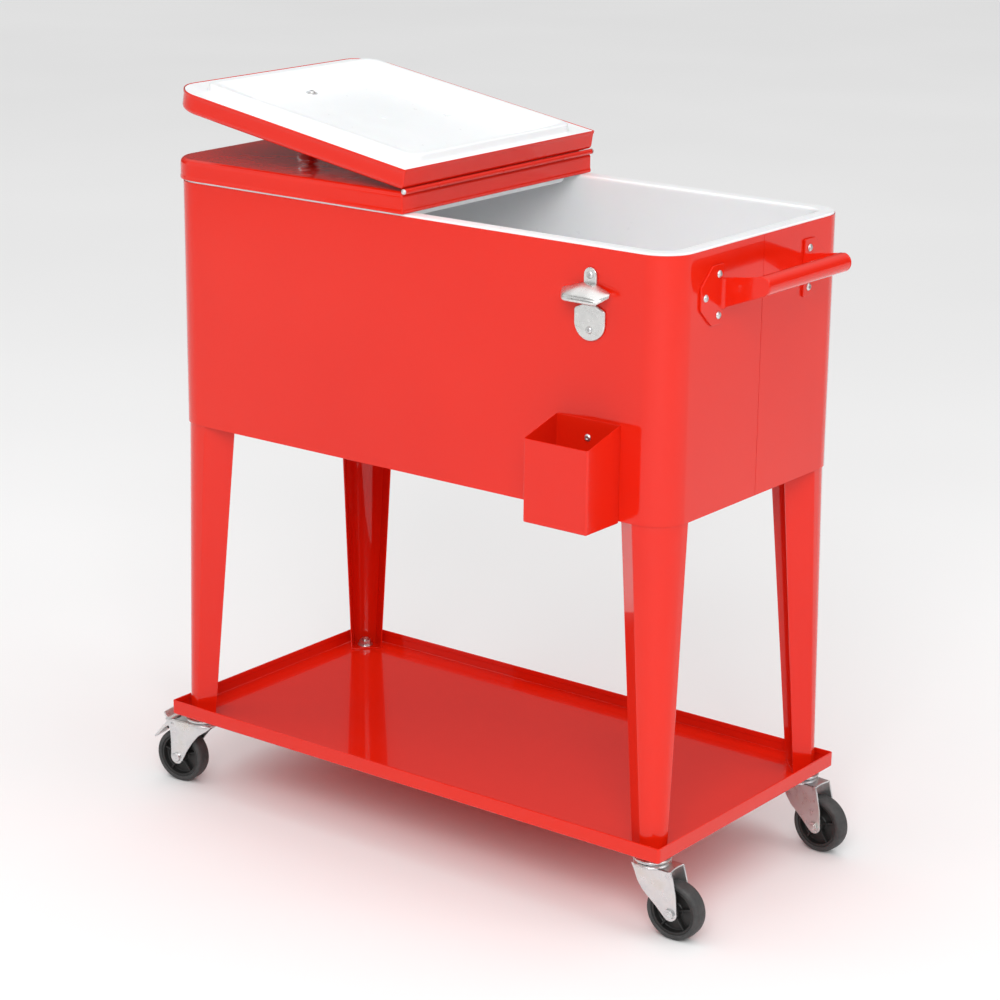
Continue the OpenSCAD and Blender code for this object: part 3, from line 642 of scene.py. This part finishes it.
def build_lid(side, parity, move):
    """Sheet shell, knuckles, formed liner, knob and knob screw of one lid."""
    body = side + "_lid"
    blank = raw_object("blank", lid_shell_shape())
    cuts = Shape()
    for i in range(KNUCKLES):
        if i % 2 != parity:
            a, b = knuckle_span(i)
            cuts.add(rod_cylinder(4.0, a - 0.6, b + 0.6))
    for end in (-1, 1):
        a, b = sorted((end * (lid_y1 - 3), end * (lid_y1 + 3)))
        cuts.add(rod_cylinder(4.0, a, b))
    apply_boolean(blank, raw_object("cutter", cuts))
    shape = shape_of(blank)
    for i in range(KNUCKLES):
        if i % 2 == parity:
            a, b = knuckle_span(i)
            shape.add(rod_cylinder(3.5, a, b, bore=2.62))
    shape.place(side + "_lid_steel", body, [side + "_lid_shell"], move, sharp=40)

    def plug(inset, z):
        return at_z(lid_outline(14 + inset, 369 - inset, 168 - inset, 20 - inset * 0.5,
                                20 - inset * 0.5), lid_z0 + z)

    def recess(x0, x1, y, z, r):
        return at_z(lid_outline(x0, x1, y, r, r), lid_z0 + z)

    rings = [lid_ring(1.75, 0.6), lid_ring(2.2, 0.42)]
    rings += [plug(i, z) for i, z in [(-2.4, 0.42), (-1.1, 0.1), (-0.3, -0.9), (0, -2.3),
                                      (0.5, -6.6), (1.0, -8.2), (2.0, -9.2), (3.4, -9.5)]]
    rings += [recess(*values) for values in
              [(21, 361, 160.5, -9.5, 16), (22.6, 359.6, 157.6, -9.2, 15),
               (24.4, 358, 153.4, -8, 14), (43.8, 341.8, 109, 9.6, 11),
               (45.4, 340.4, 105.4, 11.3, 10), (47.6, 338.2, 101.6, 12, 9)]]
    liner = Shape().add(loft(rings[::-1], ends=False))
    floor_ring = rings[-1]
    liner.add((floor_ring, [tuple(range(len(floor_ring)))]))
    liner.place(side + "_lid_liner_form", body, [side + "_lid_liner"], move, sharp=50, thick=1.2)

    rings = [lid_ring(9, lid_h - 1.7), lid_ring(4.6, lid_h - 3.4), lid_ring(2.4, lid_h - 8),
             lid_ring(2.2, 2.4), plug(1.6, 2.2), plug(2.2, -6.4), plug(4.4, -7.8)]
    rings += [recess(19.6, 362.4, 162, -7.8, 17), recess(42, 343.6, 112, 11.2, 12),
              recess(46, 340, 104, 13.9, 10)]
    Shape().add(loft(rings)).place(side + "_lid_foam_block", body, [side + "_lid_foam"], move)

    knob_low, knob_high = span("left_knob")
    knob_x = -(knob_low[0] + knob_high[0]) / 2
    r = (knob_high[1] - knob_low[1]) / 2
    h = knob_high[2] - knob_low[2]
    top = lid_z0 + lid_h
    profile = [(0, 0), (9.2, 0), (9.5, 0.5), (9.2, 1.3), (7.6, 2.4), (6.5, 4.2), (6.2, 7),
               (6.6, 9.6), (8.2, 12), (11.2, 14.1), (14, 16), (r - 0.5, 18.2), (r, 20),
               (r - 0.3, 21.7), (r - 1.5, 23.4), (r - 4, 25), (r - 8, 26.2), (4, h - 0.1), (0, h)]
    Shape().add(lathe(profile, 64), Matrix.Translation((knob_x, 0, top))).place(
        side + "_knob_turned", body, [side + "_knob"], move, sharp=60)
    screw = Shape()
    flip = Matrix.Translation((knob_x, 0, lid_z0 + 12.1)) @ turned("X", 180)
    screw.add(lathe([(0, -0.2), (7.6, -0.2), (7.8, 0.2), (7.6, 0.9), (5, 1.1), (0, 1.1)], 40), flip)
    screw.add(button_head(4.6, 2.6, 2.0, 12), Matrix.Translation((knob_x, 0, lid_z0 + 11.1))
              @ turned("X", 180))
    gate = [(0, 0.5), (2.2, 0.45), (3.3, 0.2), (3.6, -0.3), (0, -0.3)]
    gate_at = Matrix.Translation((199, 0, lid_z0 + 12)) @ turned("X", 180)
    Shape().add(lathe(gate, 24), gate_at).place(
        side + "_liner_gate", body, [side + "_lid_liner"], move)
    screw.place(side + "_knob_screw_head", body, [side + "_knob_screw"], move)


MIRROR = Matrix.Scale(-1, 4, (1, 0, 0))
build_lid("left", 0, MIRROR)
build_lid("right", 1, turned("Y", -FOLD, (0, 0, hinge_z)))

rod = Shape()
end_y = lid_y1 - 1
rod_profile = [(0, -end_y - 1.6), (1.6, -end_y - 1.5), (2.8, -end_y - 0.9), (3.5, -end_y + 0.1),
               (3.6, -end_y + 0.8), (3.4, -end_y + 1.3), (2.5, -end_y + 1.4)]
rod_profile += [(r, -y) for r, y in rod_profile[::-1]]
rod.add(lathe(rod_profile, 32), Matrix.Translation((0, 0, hinge_z)) @ turned("X", 90))
rod.place("hinge_rod_turned", "left_lid", ["hinge_rod"], sharp=50)

# ---------------------------------------------------------------- handle

grip_low, grip_high = span("handle_grip")
grip_x = (grip_low[0] + grip_high[0]) / 2
grip_z = (grip_low[2] + grip_high[2]) / 2
grip_r = (grip_high[2] - grip_low[2]) / 2
arm_y = grip_high[1]
bracket_low, bracket_high = span("handle_bracket_rear")
bracket_z = (bracket_low[2] + bracket_high[2]) / 2


def handle_bracket(name, node, side):
    """Six-sided flange on the body's end, an arm out to the grip and the bend between them."""
    shape = Shape()
    outline = [(0, -36), (24, -36), (48, -14), (48, 14), (24, 36), (0, 36)]
    outline = filleted([(side * (arm_y + y), bracket_z + z) for y, z in outline],
                       [2.5, 5, 5, 5, 5, 2.5], 6)
    shape.add(plate(outline, half_l, half_l + 3, 0.7), ALONG_X)
    x, r = grip_x, grip_r
    tip = arc(x, grip_z, r, 80, -68, 18)
    arm = [(half_l + 1.2, bracket_z - 18.5)] + tip[::-1] + [(half_l + 1.2, bracket_z + 18.5)]
    low, high = sorted((side * (arm_y + 0.02), side * (arm_y + 3)))
    shape.add(plate(arm, low, high, 1.0, 4), ALONG_Y)
    gusset = [(half_l + 2.4, arm_y + 2.4), (half_l + 2.4, arm_y + 7)]
    gusset += arc(half_l + 7.5, arm_y + 7.5, 4.5, 180, 270, 6) + [(half_l + 7, arm_y + 2.4)]
    gusset = [(x, side * y) for x, y in gusset]
    shape.add(plate(gusset, bracket_z - 18, bracket_z + 18.2, 0.3))
    shape.place(name, "cart", [node], sharp=42)


handle_bracket("bracket_front", "handle_bracket_front", -1)
handle_bracket("bracket_rear", "handle_bracket_rear", 1)
tube = [(grip_r - 2, -arm_y + 0.03), (grip_r - 0.5, -arm_y + 0.03), (grip_r, -arm_y + 0.5)]
tube += [(r, -y) for r, y in tube[::-1]]
Shape().add(lathe(tube, 64), Matrix.Translation((grip_x, 0, grip_z)) @ turned("X", 90)).place(
    "grip_tube", "cart", ["handle_grip"], sharp=40)
add_screws("handle_screw_heads", "handle_screws", (1, 0, 0))
add_screws("opener_screw_heads", "opener_screws", (0, -1, 0))
add_screws("catcher_screw_heads", "catcher_screws", (0, -1, 0))

# ---------------------------------------------------------------- bottle opener

opener_low, opener_high = span("bottle_opener")
opener_x = (opener_low[0] + opener_high[0]) / 2
opener_z = shell_z1 - 67
ON_FRONT = Matrix.Translation((opener_x, -half_d, opener_z)) @ turned("X", 90)

opener = Shape()
tab = [(-9, 6)] + [(-x, z) for x, z in arc(0, 34, 9, 0, 180, 14)] + [(9, 6)]
opener.add(plate(tab, 0.05, 3.2, 1.0), ON_FRONT)
tongue = [(-22, -7.5), (-9, -1.5), (9, -1.5), (22, -7.5)] + arc(0, -23, 22, 0, -180, 24)
tongue = filleted(tongue, [4, 8, 8, 4] + [0] * 25, 4)
opener.add(plate(tongue, 0.05, 3.3, 1.3, 4), ON_FRONT)
opener.add(plate([(-9, -3), (9, -3), (9, 14.5), (-9, 14.5)], 0.05, 3.0, 0.5), ON_FRONT)


def between(stations, t):
    """Point on a smooth line through stations, for t from 0 to 1."""
    n = len(stations) - 1
    k = min(int(t * n), n - 1)
    u = t * n - k
    p = [stations[max(k - 1, 0)], stations[k], stations[k + 1], stations[min(k + 2, n)]]
    return tuple(0.5 * (2 * p[1][i] + (p[2][i] - p[0][i]) * u
                        + (2 * p[0][i] - 5 * p[1][i] + 4 * p[2][i] - p[3][i]) * u * u
                        + (3 * p[1][i] - p[0][i] - 3 * p[2][i] + p[3][i]) * u ** 3)
                 for i in range(3))


# Rows of the hood from its back edge over the brow to the lip and back under,
# each as (across, out from the wall, height) from the middle to one tip
HOOD = [
    [(0, 2, 26), (9.5, 2, 25.4), (22, 3, 21), (33.2, 6, 16.6)],
    [(0, 9, 24.5), (10, 9, 23.8), (22, 9, 20.8), (33.9, 8, 17)],
    [(0, 17, 20.5), (11.5, 17, 20), (23.5, 16, 17.8), (34.3, 9.5, 16.8)],
    [(0, 24.4, 15.4), (13, 24.4, 15.2), (24.4, 21.8, 14), (34.6, 10.6, 16)],
    [(0, 27.6, 12), (14, 27.6, 11.8), (25.2, 24.8, 11.4), (34.6, 11.3, 15.2)],
    [(0, 26.8, 10.7), (14, 26.8, 10.5), (25, 24, 10.2), (34.4, 11.1, 14.6)],
    [(0, 28.4, 9.5), (14.4, 28.4, 9.3), (25.6, 25.4, 9.1), (34.6, 11.6, 13.9)],
    [(0, 28.4, 6.0), (14.2, 28.4, 5.8), (25.4, 25.2, 6.2), (34.4, 11.4, 12.8)],
    [(0, 27.2, 4.5), (13.8, 27.2, 4.5), (24.6, 24, 5), (33.8, 10.8, 12.4)],
    [(0, 25.4, 4.9), (12.8, 25.4, 4.9), (23.2, 22, 5.4), (32.6, 9.8, 12.8)],
    [(0, 23, 8.6), (11.6, 23, 8.6), (21, 19, 9.2), (30, 8.4, 13.4)],
    [(0, 10, 15.5), (9, 10, 15.2), (16, 9, 14.6), (26, 6.5, 14.6)],
    [(0, 2, 13), (9, 2, 13), (16, 2.5, 12.8), (24, 4.5, 14.4)],
]
stations = []
SLICES = 14  # sections of the hood on each side of its middle
for k in range(-SLICES, SLICES + 1):
    t = abs(k) / SLICES
    ring = []
    for row in HOOD:
        x, out, up = between(row, t)
        ring.append((x if k > 0 else -x, up, out))
    stations.append(ring)
hood = Shape().add(loft(stations), ON_FRONT)
opener.place("opener_plates", "cart", ["bottle_opener"], sharp=45)
hood.place("opener_hood", "cart", ["bottle_opener"], sharp=80, smooth=2)

# ---------------------------------------------------------------- cap catcher

catch_low, catch_high = span("cap_catcher")
cx0, cx1 = catch_low[0], catch_high[0]
cy0 = catch_low[1]
front_top = catch_low[2] + 103
back_top = catch_high[2]


def catcher_ring(inset, z=None, drop=0.0):
    """Plan of the catcher; without z it follows the sloping top edge."""
    ring = filleted([(cx1 - inset, cy0 + inset), (cx1 - inset, -half_d - inset),
                     (cx0 + inset, -half_d - inset), (cx0 + inset, cy0 + inset)],
                    [2.4 - inset * 0.9, 1.2, 1.2, 2.4 - inset * 0.9], 6)
    out = []
    for x, y in ring:
        slope = (y - cy0) / (-half_d - cy0)
        top = front_top + (back_top - front_top) * min(max(slope, 0), 1)
        out.append((x, y, top - drop if z is None else z))
    return out


z0 = catch_low[2]
catcher = Shape()
catcher.add(loft([catcher_ring(2.2, z0), catcher_ring(0.9, z0 + 0.35), catcher_ring(0.1, z0 + 1.4),
                  catcher_ring(0, z0 + 3), catcher_ring(0, drop=0.5), catcher_ring(0.3, drop=0),
                  catcher_ring(0.8, drop=0), catcher_ring(1.1, drop=0.5),
                  catcher_ring(1.1, z0 + 3.4), catcher_ring(1.6, z0 + 1.7),
                  catcher_ring(3, z0 + 1.1)]))
catcher.place("catcher_box", "cart", ["cap_catcher"], sharp=40)

# ---------------------------------------------------------------- legs and tray

tray_low, tray_high = span("tray")
tray_x, tray_y = tray_high[0], tray_high[1]


def tray_ring(inset, z):
    """Plan of the tray, inset, at a height above its underside."""
    r = max(4 - inset * 0.8, 1.5)
    return at_z(rounded_box(tray_x - inset, tray_y - inset, r, 8), tray_low[2] + z)


wall = tray_high[2] - tray_low[2]
tray_profile = [(8, 0), (2.6, 0)] + [(2.4 - 2.4 * sin(a), 2.4 - 2.4 * cos(a)) for a in
                                     [pi / 2 * k / 5 for k in range(6)]]
tray_profile += [(0, wall - 1.0), (0.3, wall - 0.3), (1.0, wall), (1.7, wall - 0.1),
                 (2.2, wall - 0.6), (2.4, wall - 1.4), (2.4, wall - 6.6), (2.1, wall - 7.0),
                 (1.2, wall - 7.1), (1.2, 2.8)]
tray_profile += [(1.2 + 1.7 * (1 - cos(a)), 2.9 - 1.7 * sin(a)) for a in
                 [pi / 2 * k / 5 for k in range(1, 6)]] + [(9, 1.2)]
Shape().add(loft([tray_ring(i, z) for i, z in tray_profile])).place("tray_pan", "cart", ["tray"])


# Width of a leg's foot, the flat part of its faces, and the radius of its outer corner
FOOT_WIDTH = 45
FOOT_FACE, TOP_FACE = 0.52, 0.6
FOOT_NOSE, TOP_NOSE = 21, 40


def leg_section(width, share, nose, t):
    """Outline of a leg's sheet on its outer side (t = 0) or inner side, inwards from the corner."""
    face, lip = share * width, 0.3 * width
    slope = atan2(lip, width - face)
    back = t * tan(slope / 2)
    end = (width - t * sin(slope), lip + t * cos(slope))
    points = [(end[1], end[0]), (t, face - back), (t, t), (face - back, t), end]
    return filleted(points, [0, 3.4 - t, nose - t, 3.4 - t, 0], 12, closed=False, share=0.92)


def leg_piece(name, node):
    """Tapered leg of folded sheet, closed by a plate at each end."""
    low, high = span(node)
    sx = 1 if high[0] > 0 else -1
    sy = 1 if high[1] > 0 else -1
    corner = (high[0] if sx > 0 else low[0], high[1] if sy > 0 else low[1])
    z0, z1 = low[2], high[2]
    top_w = high[0] - low[0]
    shape = Shape()
    rings = []
    for z, e in ((z0, 0.35), (z0 + 0.35, 0), (z1 - 0.35, 0), (z1, 0.35)):
        t = (z - z0) / (z1 - z0)
        w = FOOT_WIDTH + (top_w - FOOT_WIDTH) * t
        nose = FOOT_NOSE + (TOP_NOSE - FOOT_NOSE) * t
        share = FOOT_FACE + (TOP_FACE - FOOT_FACE) * t
        outer = leg_section(w, share, nose, e)
        inner = leg_section(w, share, nose, 1.5 - e)
        rings.append(at_z(outer + inner[::-1], z))
    shape.add(loft(rings))
    for z, w, share, nose in ((z0, FOOT_WIDTH, FOOT_FACE, FOOT_NOSE),
                              (z1 - 2, top_w, TOP_FACE, TOP_NOSE)):
        shape.add(plate(leg_section(w - 0.6, share, nose, 0.9), z, z + 2, 0.4))
    move = Matrix.Translation((corner[0], corner[1], 0)) @ Matrix.Diagonal((-sx, -sy, 1, 1))
    shape.place(name, "cart", [node], move, sharp=30)


for leg in CORNERS:
    leg_piece("leg_sheet_" + leg, "leg_" + leg)

# ---------------------------------------------------------------- casters


def hexagon(r):
    return [(r * cos(pi / 3 * k), r * sin(pi / 3 * k)) for k in range(6)]


nut = Shape()
nut_z = span("stem_nuts")[0][2]
for corner in CORNERS:
    x, y = (v / MM for v in joints["swivel_" + corner]["pos_m"][:2])
    outline = filleted(hexagon(9), 0.7, 3)
    nut.add(plate(outline, nut_z, nut_z + 7.9, 0.8), Matrix.Translation((x, y, 0)))
    nut.add(lathe([(5.2, nut_z + 0.2), (11, nut_z + 0.02), (11.3, nut_z + 0.5), (11, nut_z + 1.2),
                   (5.2, nut_z + 1.2)], 40), Matrix.Translation((x, y, 0)))
nut.place("stem_nut_set", "cart", ["stem_nuts"])


def caster(corner):
    """Stem, fork, axle and wheel of one caster, with a brake pedal on the left ones."""
    swivel = Vector(joints["swivel_" + corner]["pos_m"]) / MM
    hub_at = Vector(joints["wheel_" + corner]["pos_m"]) / MM
    trail = Vector((hub_at.x - swivel.x, hub_at.y - swivel.y, 0))
    heading = atan2(trail.y, trail.x)
    base = Matrix.Translation((swivel.x, swivel.y, 0)) @ Matrix.Rotation(heading, 4, "Z")
    u = trail.length
    braked = corner.endswith("left")
    body = "swivel_" + corner
    axle_z = hub_at.z
    side_view = base @ ALONG_Y
    half = 16.5  # half the fork's width
    crown = 90  # height of the crown's underside

    # Fixed race and stem
    race = 96
    stem = Shape()
    stem.add(lathe([(0, 85.6), (5.4, 85.6), (6.8, 86), (7.8, 87.2), (8, 88.4), (8, 89.5),
                    (4.98, 89.6), (4.98, race), (21.5, race), (22.6, race + 0.3),
                    (23.7, race + 1.1), (24.4, race + 2.4), (24.4, race + 3.4),
                    (23.6, race + 4.7), (22.2, race + 5.5), (20, race + 6), (17, race + 6.2),
                    (15.6, race + 6.8), (15, race + 8.2), (15, 105.98), (4.98, 105.98),
                    (4.98, 119.4), (4.2, 120.1), (0, 120.1)], 64),
             Matrix.Translation((swivel.x, swivel.y, 0)))
    for k in range(8):
        z = 117.2 + k * 0.35
        stem.add(lathe([(4.4, z - 0.16), (5.15, z), (4.4, z + 0.16)], 32),
                 Matrix.Translation((swivel.x, swivel.y, 0)))
    stem.place("stem_turned_" + corner, "cart", ["stem_" + corner], sharp=50)

    # Fork
    top = crown + 2.5
    if braked:
        outline = [(-23, top), (-14, 84.5), (-1, 75.5), (8.5, 64.5), (19, 49),
                   (u - 8.8, axle_z - 4.8)]
        outline += arc(u, axle_z, 10, 208, 378, 14)
        outline += [(45.6, 60), (46.4, 74), (49.5, 84), (54, 90), (54, top)]
        soft = [1, 8, 14, 30, 40, 0] + [0] * 15 + [30, 20, 12, 2, 1]
    else:
        outline = [(-21, top), (-17, 85), (-11, 70), (-3, 59), (6.5, 51), (16, 43),
                   (u - 7.2, axle_z - 7)]
        outline += arc(u, axle_z, 10, 224, 352, 12) + [(44.2, 62), (38.5, 85), (36, top)]
        soft = [1, 12, 20, 30, 40, 40, 0] + [0] * 13 + [60, 20, 1]
    outline = filleted(outline, soft, 5)
    fork = Shape()
    for side in (-1, 1):
        low, high = sorted((side * (half - 2.5), side * half))
        fork.add(plate(outline, low, high, 0.9, 4), side_view)
    end = 54 if braked else 36
    deck = filleted([(-9, -half), (end, -half), (end - 2.4, 0), (end, half), (-9, half)],
                    [8, 2.5, 40, 2.5, 8], 8)
    if braked:
        for side in (-1, 1):
            rail = filleted([(-9, side * (half - 2.6)), (end, side * (half - 2.6)),
                             (end, side * half), (-9, side * half)], 0.8, 3)
            fork.add(plate(rail, crown, top, 0.7), base)
        deck = filleted([(-9, -half), (37.5, -half), (37.5, half), (-9, half)], [8, 1, 1, 8], 8)
    fork.add(plate(deck, crown, top, 0.9, 4), base)
    fork.add(lathe([(5.06, crown), (22.6, crown), (23.6, crown + 0.6), (24, crown + 1.6),
                    (23.8, crown + 3), (22.9, crown + 3.9), (22.3, crown + 4.1), (22, crown + 4.6),
                    (21.2, crown + 5.2), (5.06, crown + 5.25)], 64), base)
    fork.place("fork_pressed_" + corner, body, ["fork_" + corner], sharp=50)

    # Axle bolt and nut
    bolt = Shape()
    cross = base @ Matrix.Translation((u, 0, axle_z)) @ turned("X", 90)
    bolt.add(lathe([(0, -20.2), (2.6, -20.2), (5.6, -19.6), (6.4, -18.6), (6.5, -17.4),
                    (6.4, -16.55), (3.98, -16.5), (3.98, 20.1), (3.4, 20.5), (0, 20.5)], 40), cross)
    bolt.add(plate(filleted(hexagon(7), 0.5, 3), 16.55, 19.8, 0.6), cross)
    bolt.place("axle_bolt_" + corner, body, ["axle_" + corner])

    # Wheel
    wheel = "wheel_" + corner
    radius = axle_z
    rim = radius - 9
    hub = Shape()
    hub.add(lathe([(4.06, -10.8), (8.2, -10.9), (8.9, -10.4), (9.3, -8), (9.8, -3), (11, -2),
                   (rim - 3.8, -1.9), (rim - 2.8, -2.6), (rim - 2.3, -4), (rim - 2.1, -8.6),
                   (rim - 1.6, -9.4), (rim + 0.4, -9.5), (rim + 1.4, -9.3), (rim + 1.45, 9.3),
                   (rim + 0.4, 9.5), (rim - 1.6, 9.4), (rim - 2.1, 8.6), (rim - 2.3, 4),
                   (rim - 2.8, 2.6), (rim - 3.8, 1.9), (11, 2), (9.8, 3), (9.3, 8), (8.9, 10.4),
                   (8.2, 10.9), (4.06, 10.8)], 72), cross)
    for k in range(5):
        rib = filleted([(7, -1.3), (rim - 1.4, -1.1), (rim - 1.4, 1.1), (7, 1.3)], 0.2, 2)
        turn = Matrix.Rotation(2 * pi * k / 5 + 0.3, 4, "Z")
        hub.add(plate(rib, -7.6, 7.6, 0.5), cross @ turn)
    hub.place("hub_spoked_" + corner, wheel, ["hub_" + corner])
    tyre = [(rim + 1.5, -9.8), (rim + 2.2, -10.6), (rim + 3.6, -11), (radius - 3.6, -11),
            (radius - 2.2, -10.5), (radius - 1.2, -9.3), (radius - 0.5, -7.4),
            (radius - 0.12, -4.6), (radius, -1.2)]
    tyre += [(r, -z) for r, z in tyre[::-1]]
    rings = [[(r * cos(2 * pi * i / 96), r * sin(2 * pi * i / 96), z) for i in range(96)]
             for r, z in tyre]
    body_tyre = Shape().add(loft(rings, ends=False, wrap=True), cross)
    body_tyre.place("tyre_tread_" + corner, wheel, ["tyre_" + corner], sharp=60)

    if braked:
        pedal = Shape()
        wide = 13.5
        lower = filleted([(46.8, 89.4), (48.2, 86.2), (70.4, 62.2), (74.2, 58.9), (75.3, 60.6),
                          (72.4, 64.6), (52.2, 88.2), (54.6, 90.6), (57.2, 94.8), (58.6, 99.6),
                          (56.6, 100.4), (54.8, 96), (51.6, 92.1), (48.4, 91)],
                         [0.8, 2, 6, 0.7, 0.7, 6, 3, 5, 6, 0.8, 0.8, 6, 4, 2], 4)
        pedal.add(plate(lower, -wide, wide, 0.5), side_view)
        for side in (-1, 1):
            cheek = filleted([(39.2, 87.2), (39.2, 83), (42, 80.6), (53, 79.6), (59.8, 74.8),
                              (48.2, 89.6), (44, 88.8)], [1, 2, 3, 3, 1.5, 1, 2], 4)
            low, high = sorted((side * (wide - 2), side * (wide - 0.02)))
            pedal.add(plate(cheek, low, high, 0.4), side_view)
        pin = base @ Matrix.Translation((43, 0, 85.5)) @ turned("X", 90)
        pedal.add(lathe([(0, -17.4), (1.8, -17.4), (2.8, -16.9), (2.98, -16.3), (2.98, 16.3),
                         (2.8, 16.9), (1.8, 17.4), (0, 17.4)], 32), pin)
        pedal.place("pedal_pressed_" + corner, "pedal_" + corner, ["brake_" + corner], sharp=45)
        inner, outer = radius + 3.2, radius + 4.3
        block = [(u + inner * cos(radians(a)), axle_z + inner * sin(radians(a)))
                 for a in (60, 63.5, 67, 70.5, 74)]
        block += [(u + outer / cos(radians(a - 43)) * cos(radians(a)),
                   axle_z + outer / cos(radians(a - 43)) * sin(radians(a))) for a in (72, 66, 60)]
        Shape().add(plate(filleted(block, 0.8, 3), -8.4, 8.4, 0.8), side_view).place(
            "shoe_block_" + corner, "pedal_" + corner, ["shoe_" + corner], sharp=45)


for corner in CORNERS:
    caster(corner)

# ---------------------------------------------------------------- floor, light and camera


def area_light(name, at, aim, size, power):
    """Square lamp of a width, aimed at a point."""
    data = bpy.data.lights.new(name, "AREA")
    data.shape = "SQUARE"
    data.size = size
    data.energy = power
    lamp = bpy.data.objects.new(name, data)
    scene.collection.objects.link(lamp)
    lamp.location = at
    lamp.rotation_euler = (Vector(aim) - Vector(at)).to_track_quat("-Z", "Y").to_euler()


FAR = 30  # metres from the middle to the floor's edges
floor_mesh = bpy.data.meshes.new("floor")
floor_mesh.from_pydata([(-FAR, -FAR, 0), (FAR, -FAR, 0), (FAR, FAR, 0), (-FAR, FAR, 0)], [],
                       [(0, 1, 2, 3)])
ground = bpy.data.objects.new("floor", floor_mesh)
scene.collection.objects.link(ground)
f = Nodes("studio_floor")
f.colour(f.ramp(f.noise(0.6, 2), [(0.3, (0.86, 0.86, 0.86)), (0.7, (0.9, 0.9, 0.9))]))
f.set(Roughness=0.7)
floor_mesh.materials.append(f.mat)

world = bpy.data.worlds.new("studio")
scene.world = world
world.use_nodes = True
sky = world.node_tree.nodes
direction = sky.new("ShaderNodeSeparateXYZ")
height = sky.new("ShaderNodeValToRGB")
height.color_ramp.elements[0].color = (0.05, 0.05, 0.05, 1)
height.color_ramp.elements[1].color = (1, 1, 1, 1)
height.color_ramp.elements.new(0.35).color = (0.12, 0.12, 0.12, 1)
join = world.node_tree.links.new
join(sky.new("ShaderNodeTexCoord").outputs["Generated"], direction.inputs["Vector"])
join(direction.outputs["Z"], height.inputs["Fac"])
join(height.outputs["Color"], sky["Background"].inputs["Color"])
sky["Background"].inputs["Strength"].default_value = 1.5

area_light("key", (2.3, -3.4, 3.0), (0.1, 0, 0.7), 2.4, 108)
area_light("front", (0.0, -3.3, 4.2), (0, 0, 0.6), 2.4, 14)
area_light("end", (3.6, 0.6, 2.0), (0.4, 0, 0.7), 2.0, 25)
area_light("fill", (-3.4, -2.4, 1.8), (0, 0, 0.5), 2.4, 16)

camera_data = bpy.data.cameras.new("camera")
camera_data.lens = 100
camera_data.sensor_width = 36
camera = bpy.data.objects.new("camera", camera_data)
scene.collection.objects.link(camera)
scene.camera = camera
azimuth, elevation, roll = radians(37.22), radians(16.71), radians(0.62)
back_axis = Vector((sin(azimuth) * cos(elevation), -cos(azimuth) * cos(elevation), sin(elevation)))
level = Vector((0, 0, 1)).cross(back_axis).normalized()
upright = back_axis.cross(level)
right = level * cos(roll) + upright * sin(roll)
up = upright * cos(roll) - level * sin(roll)
camera.matrix_world = Matrix.Translation((2.1194, -2.7859, 1.4939)) @ Matrix(
    (right, up, back_axis)).transposed().to_4x4()
scene.view_settings.view_transform = "Standard"
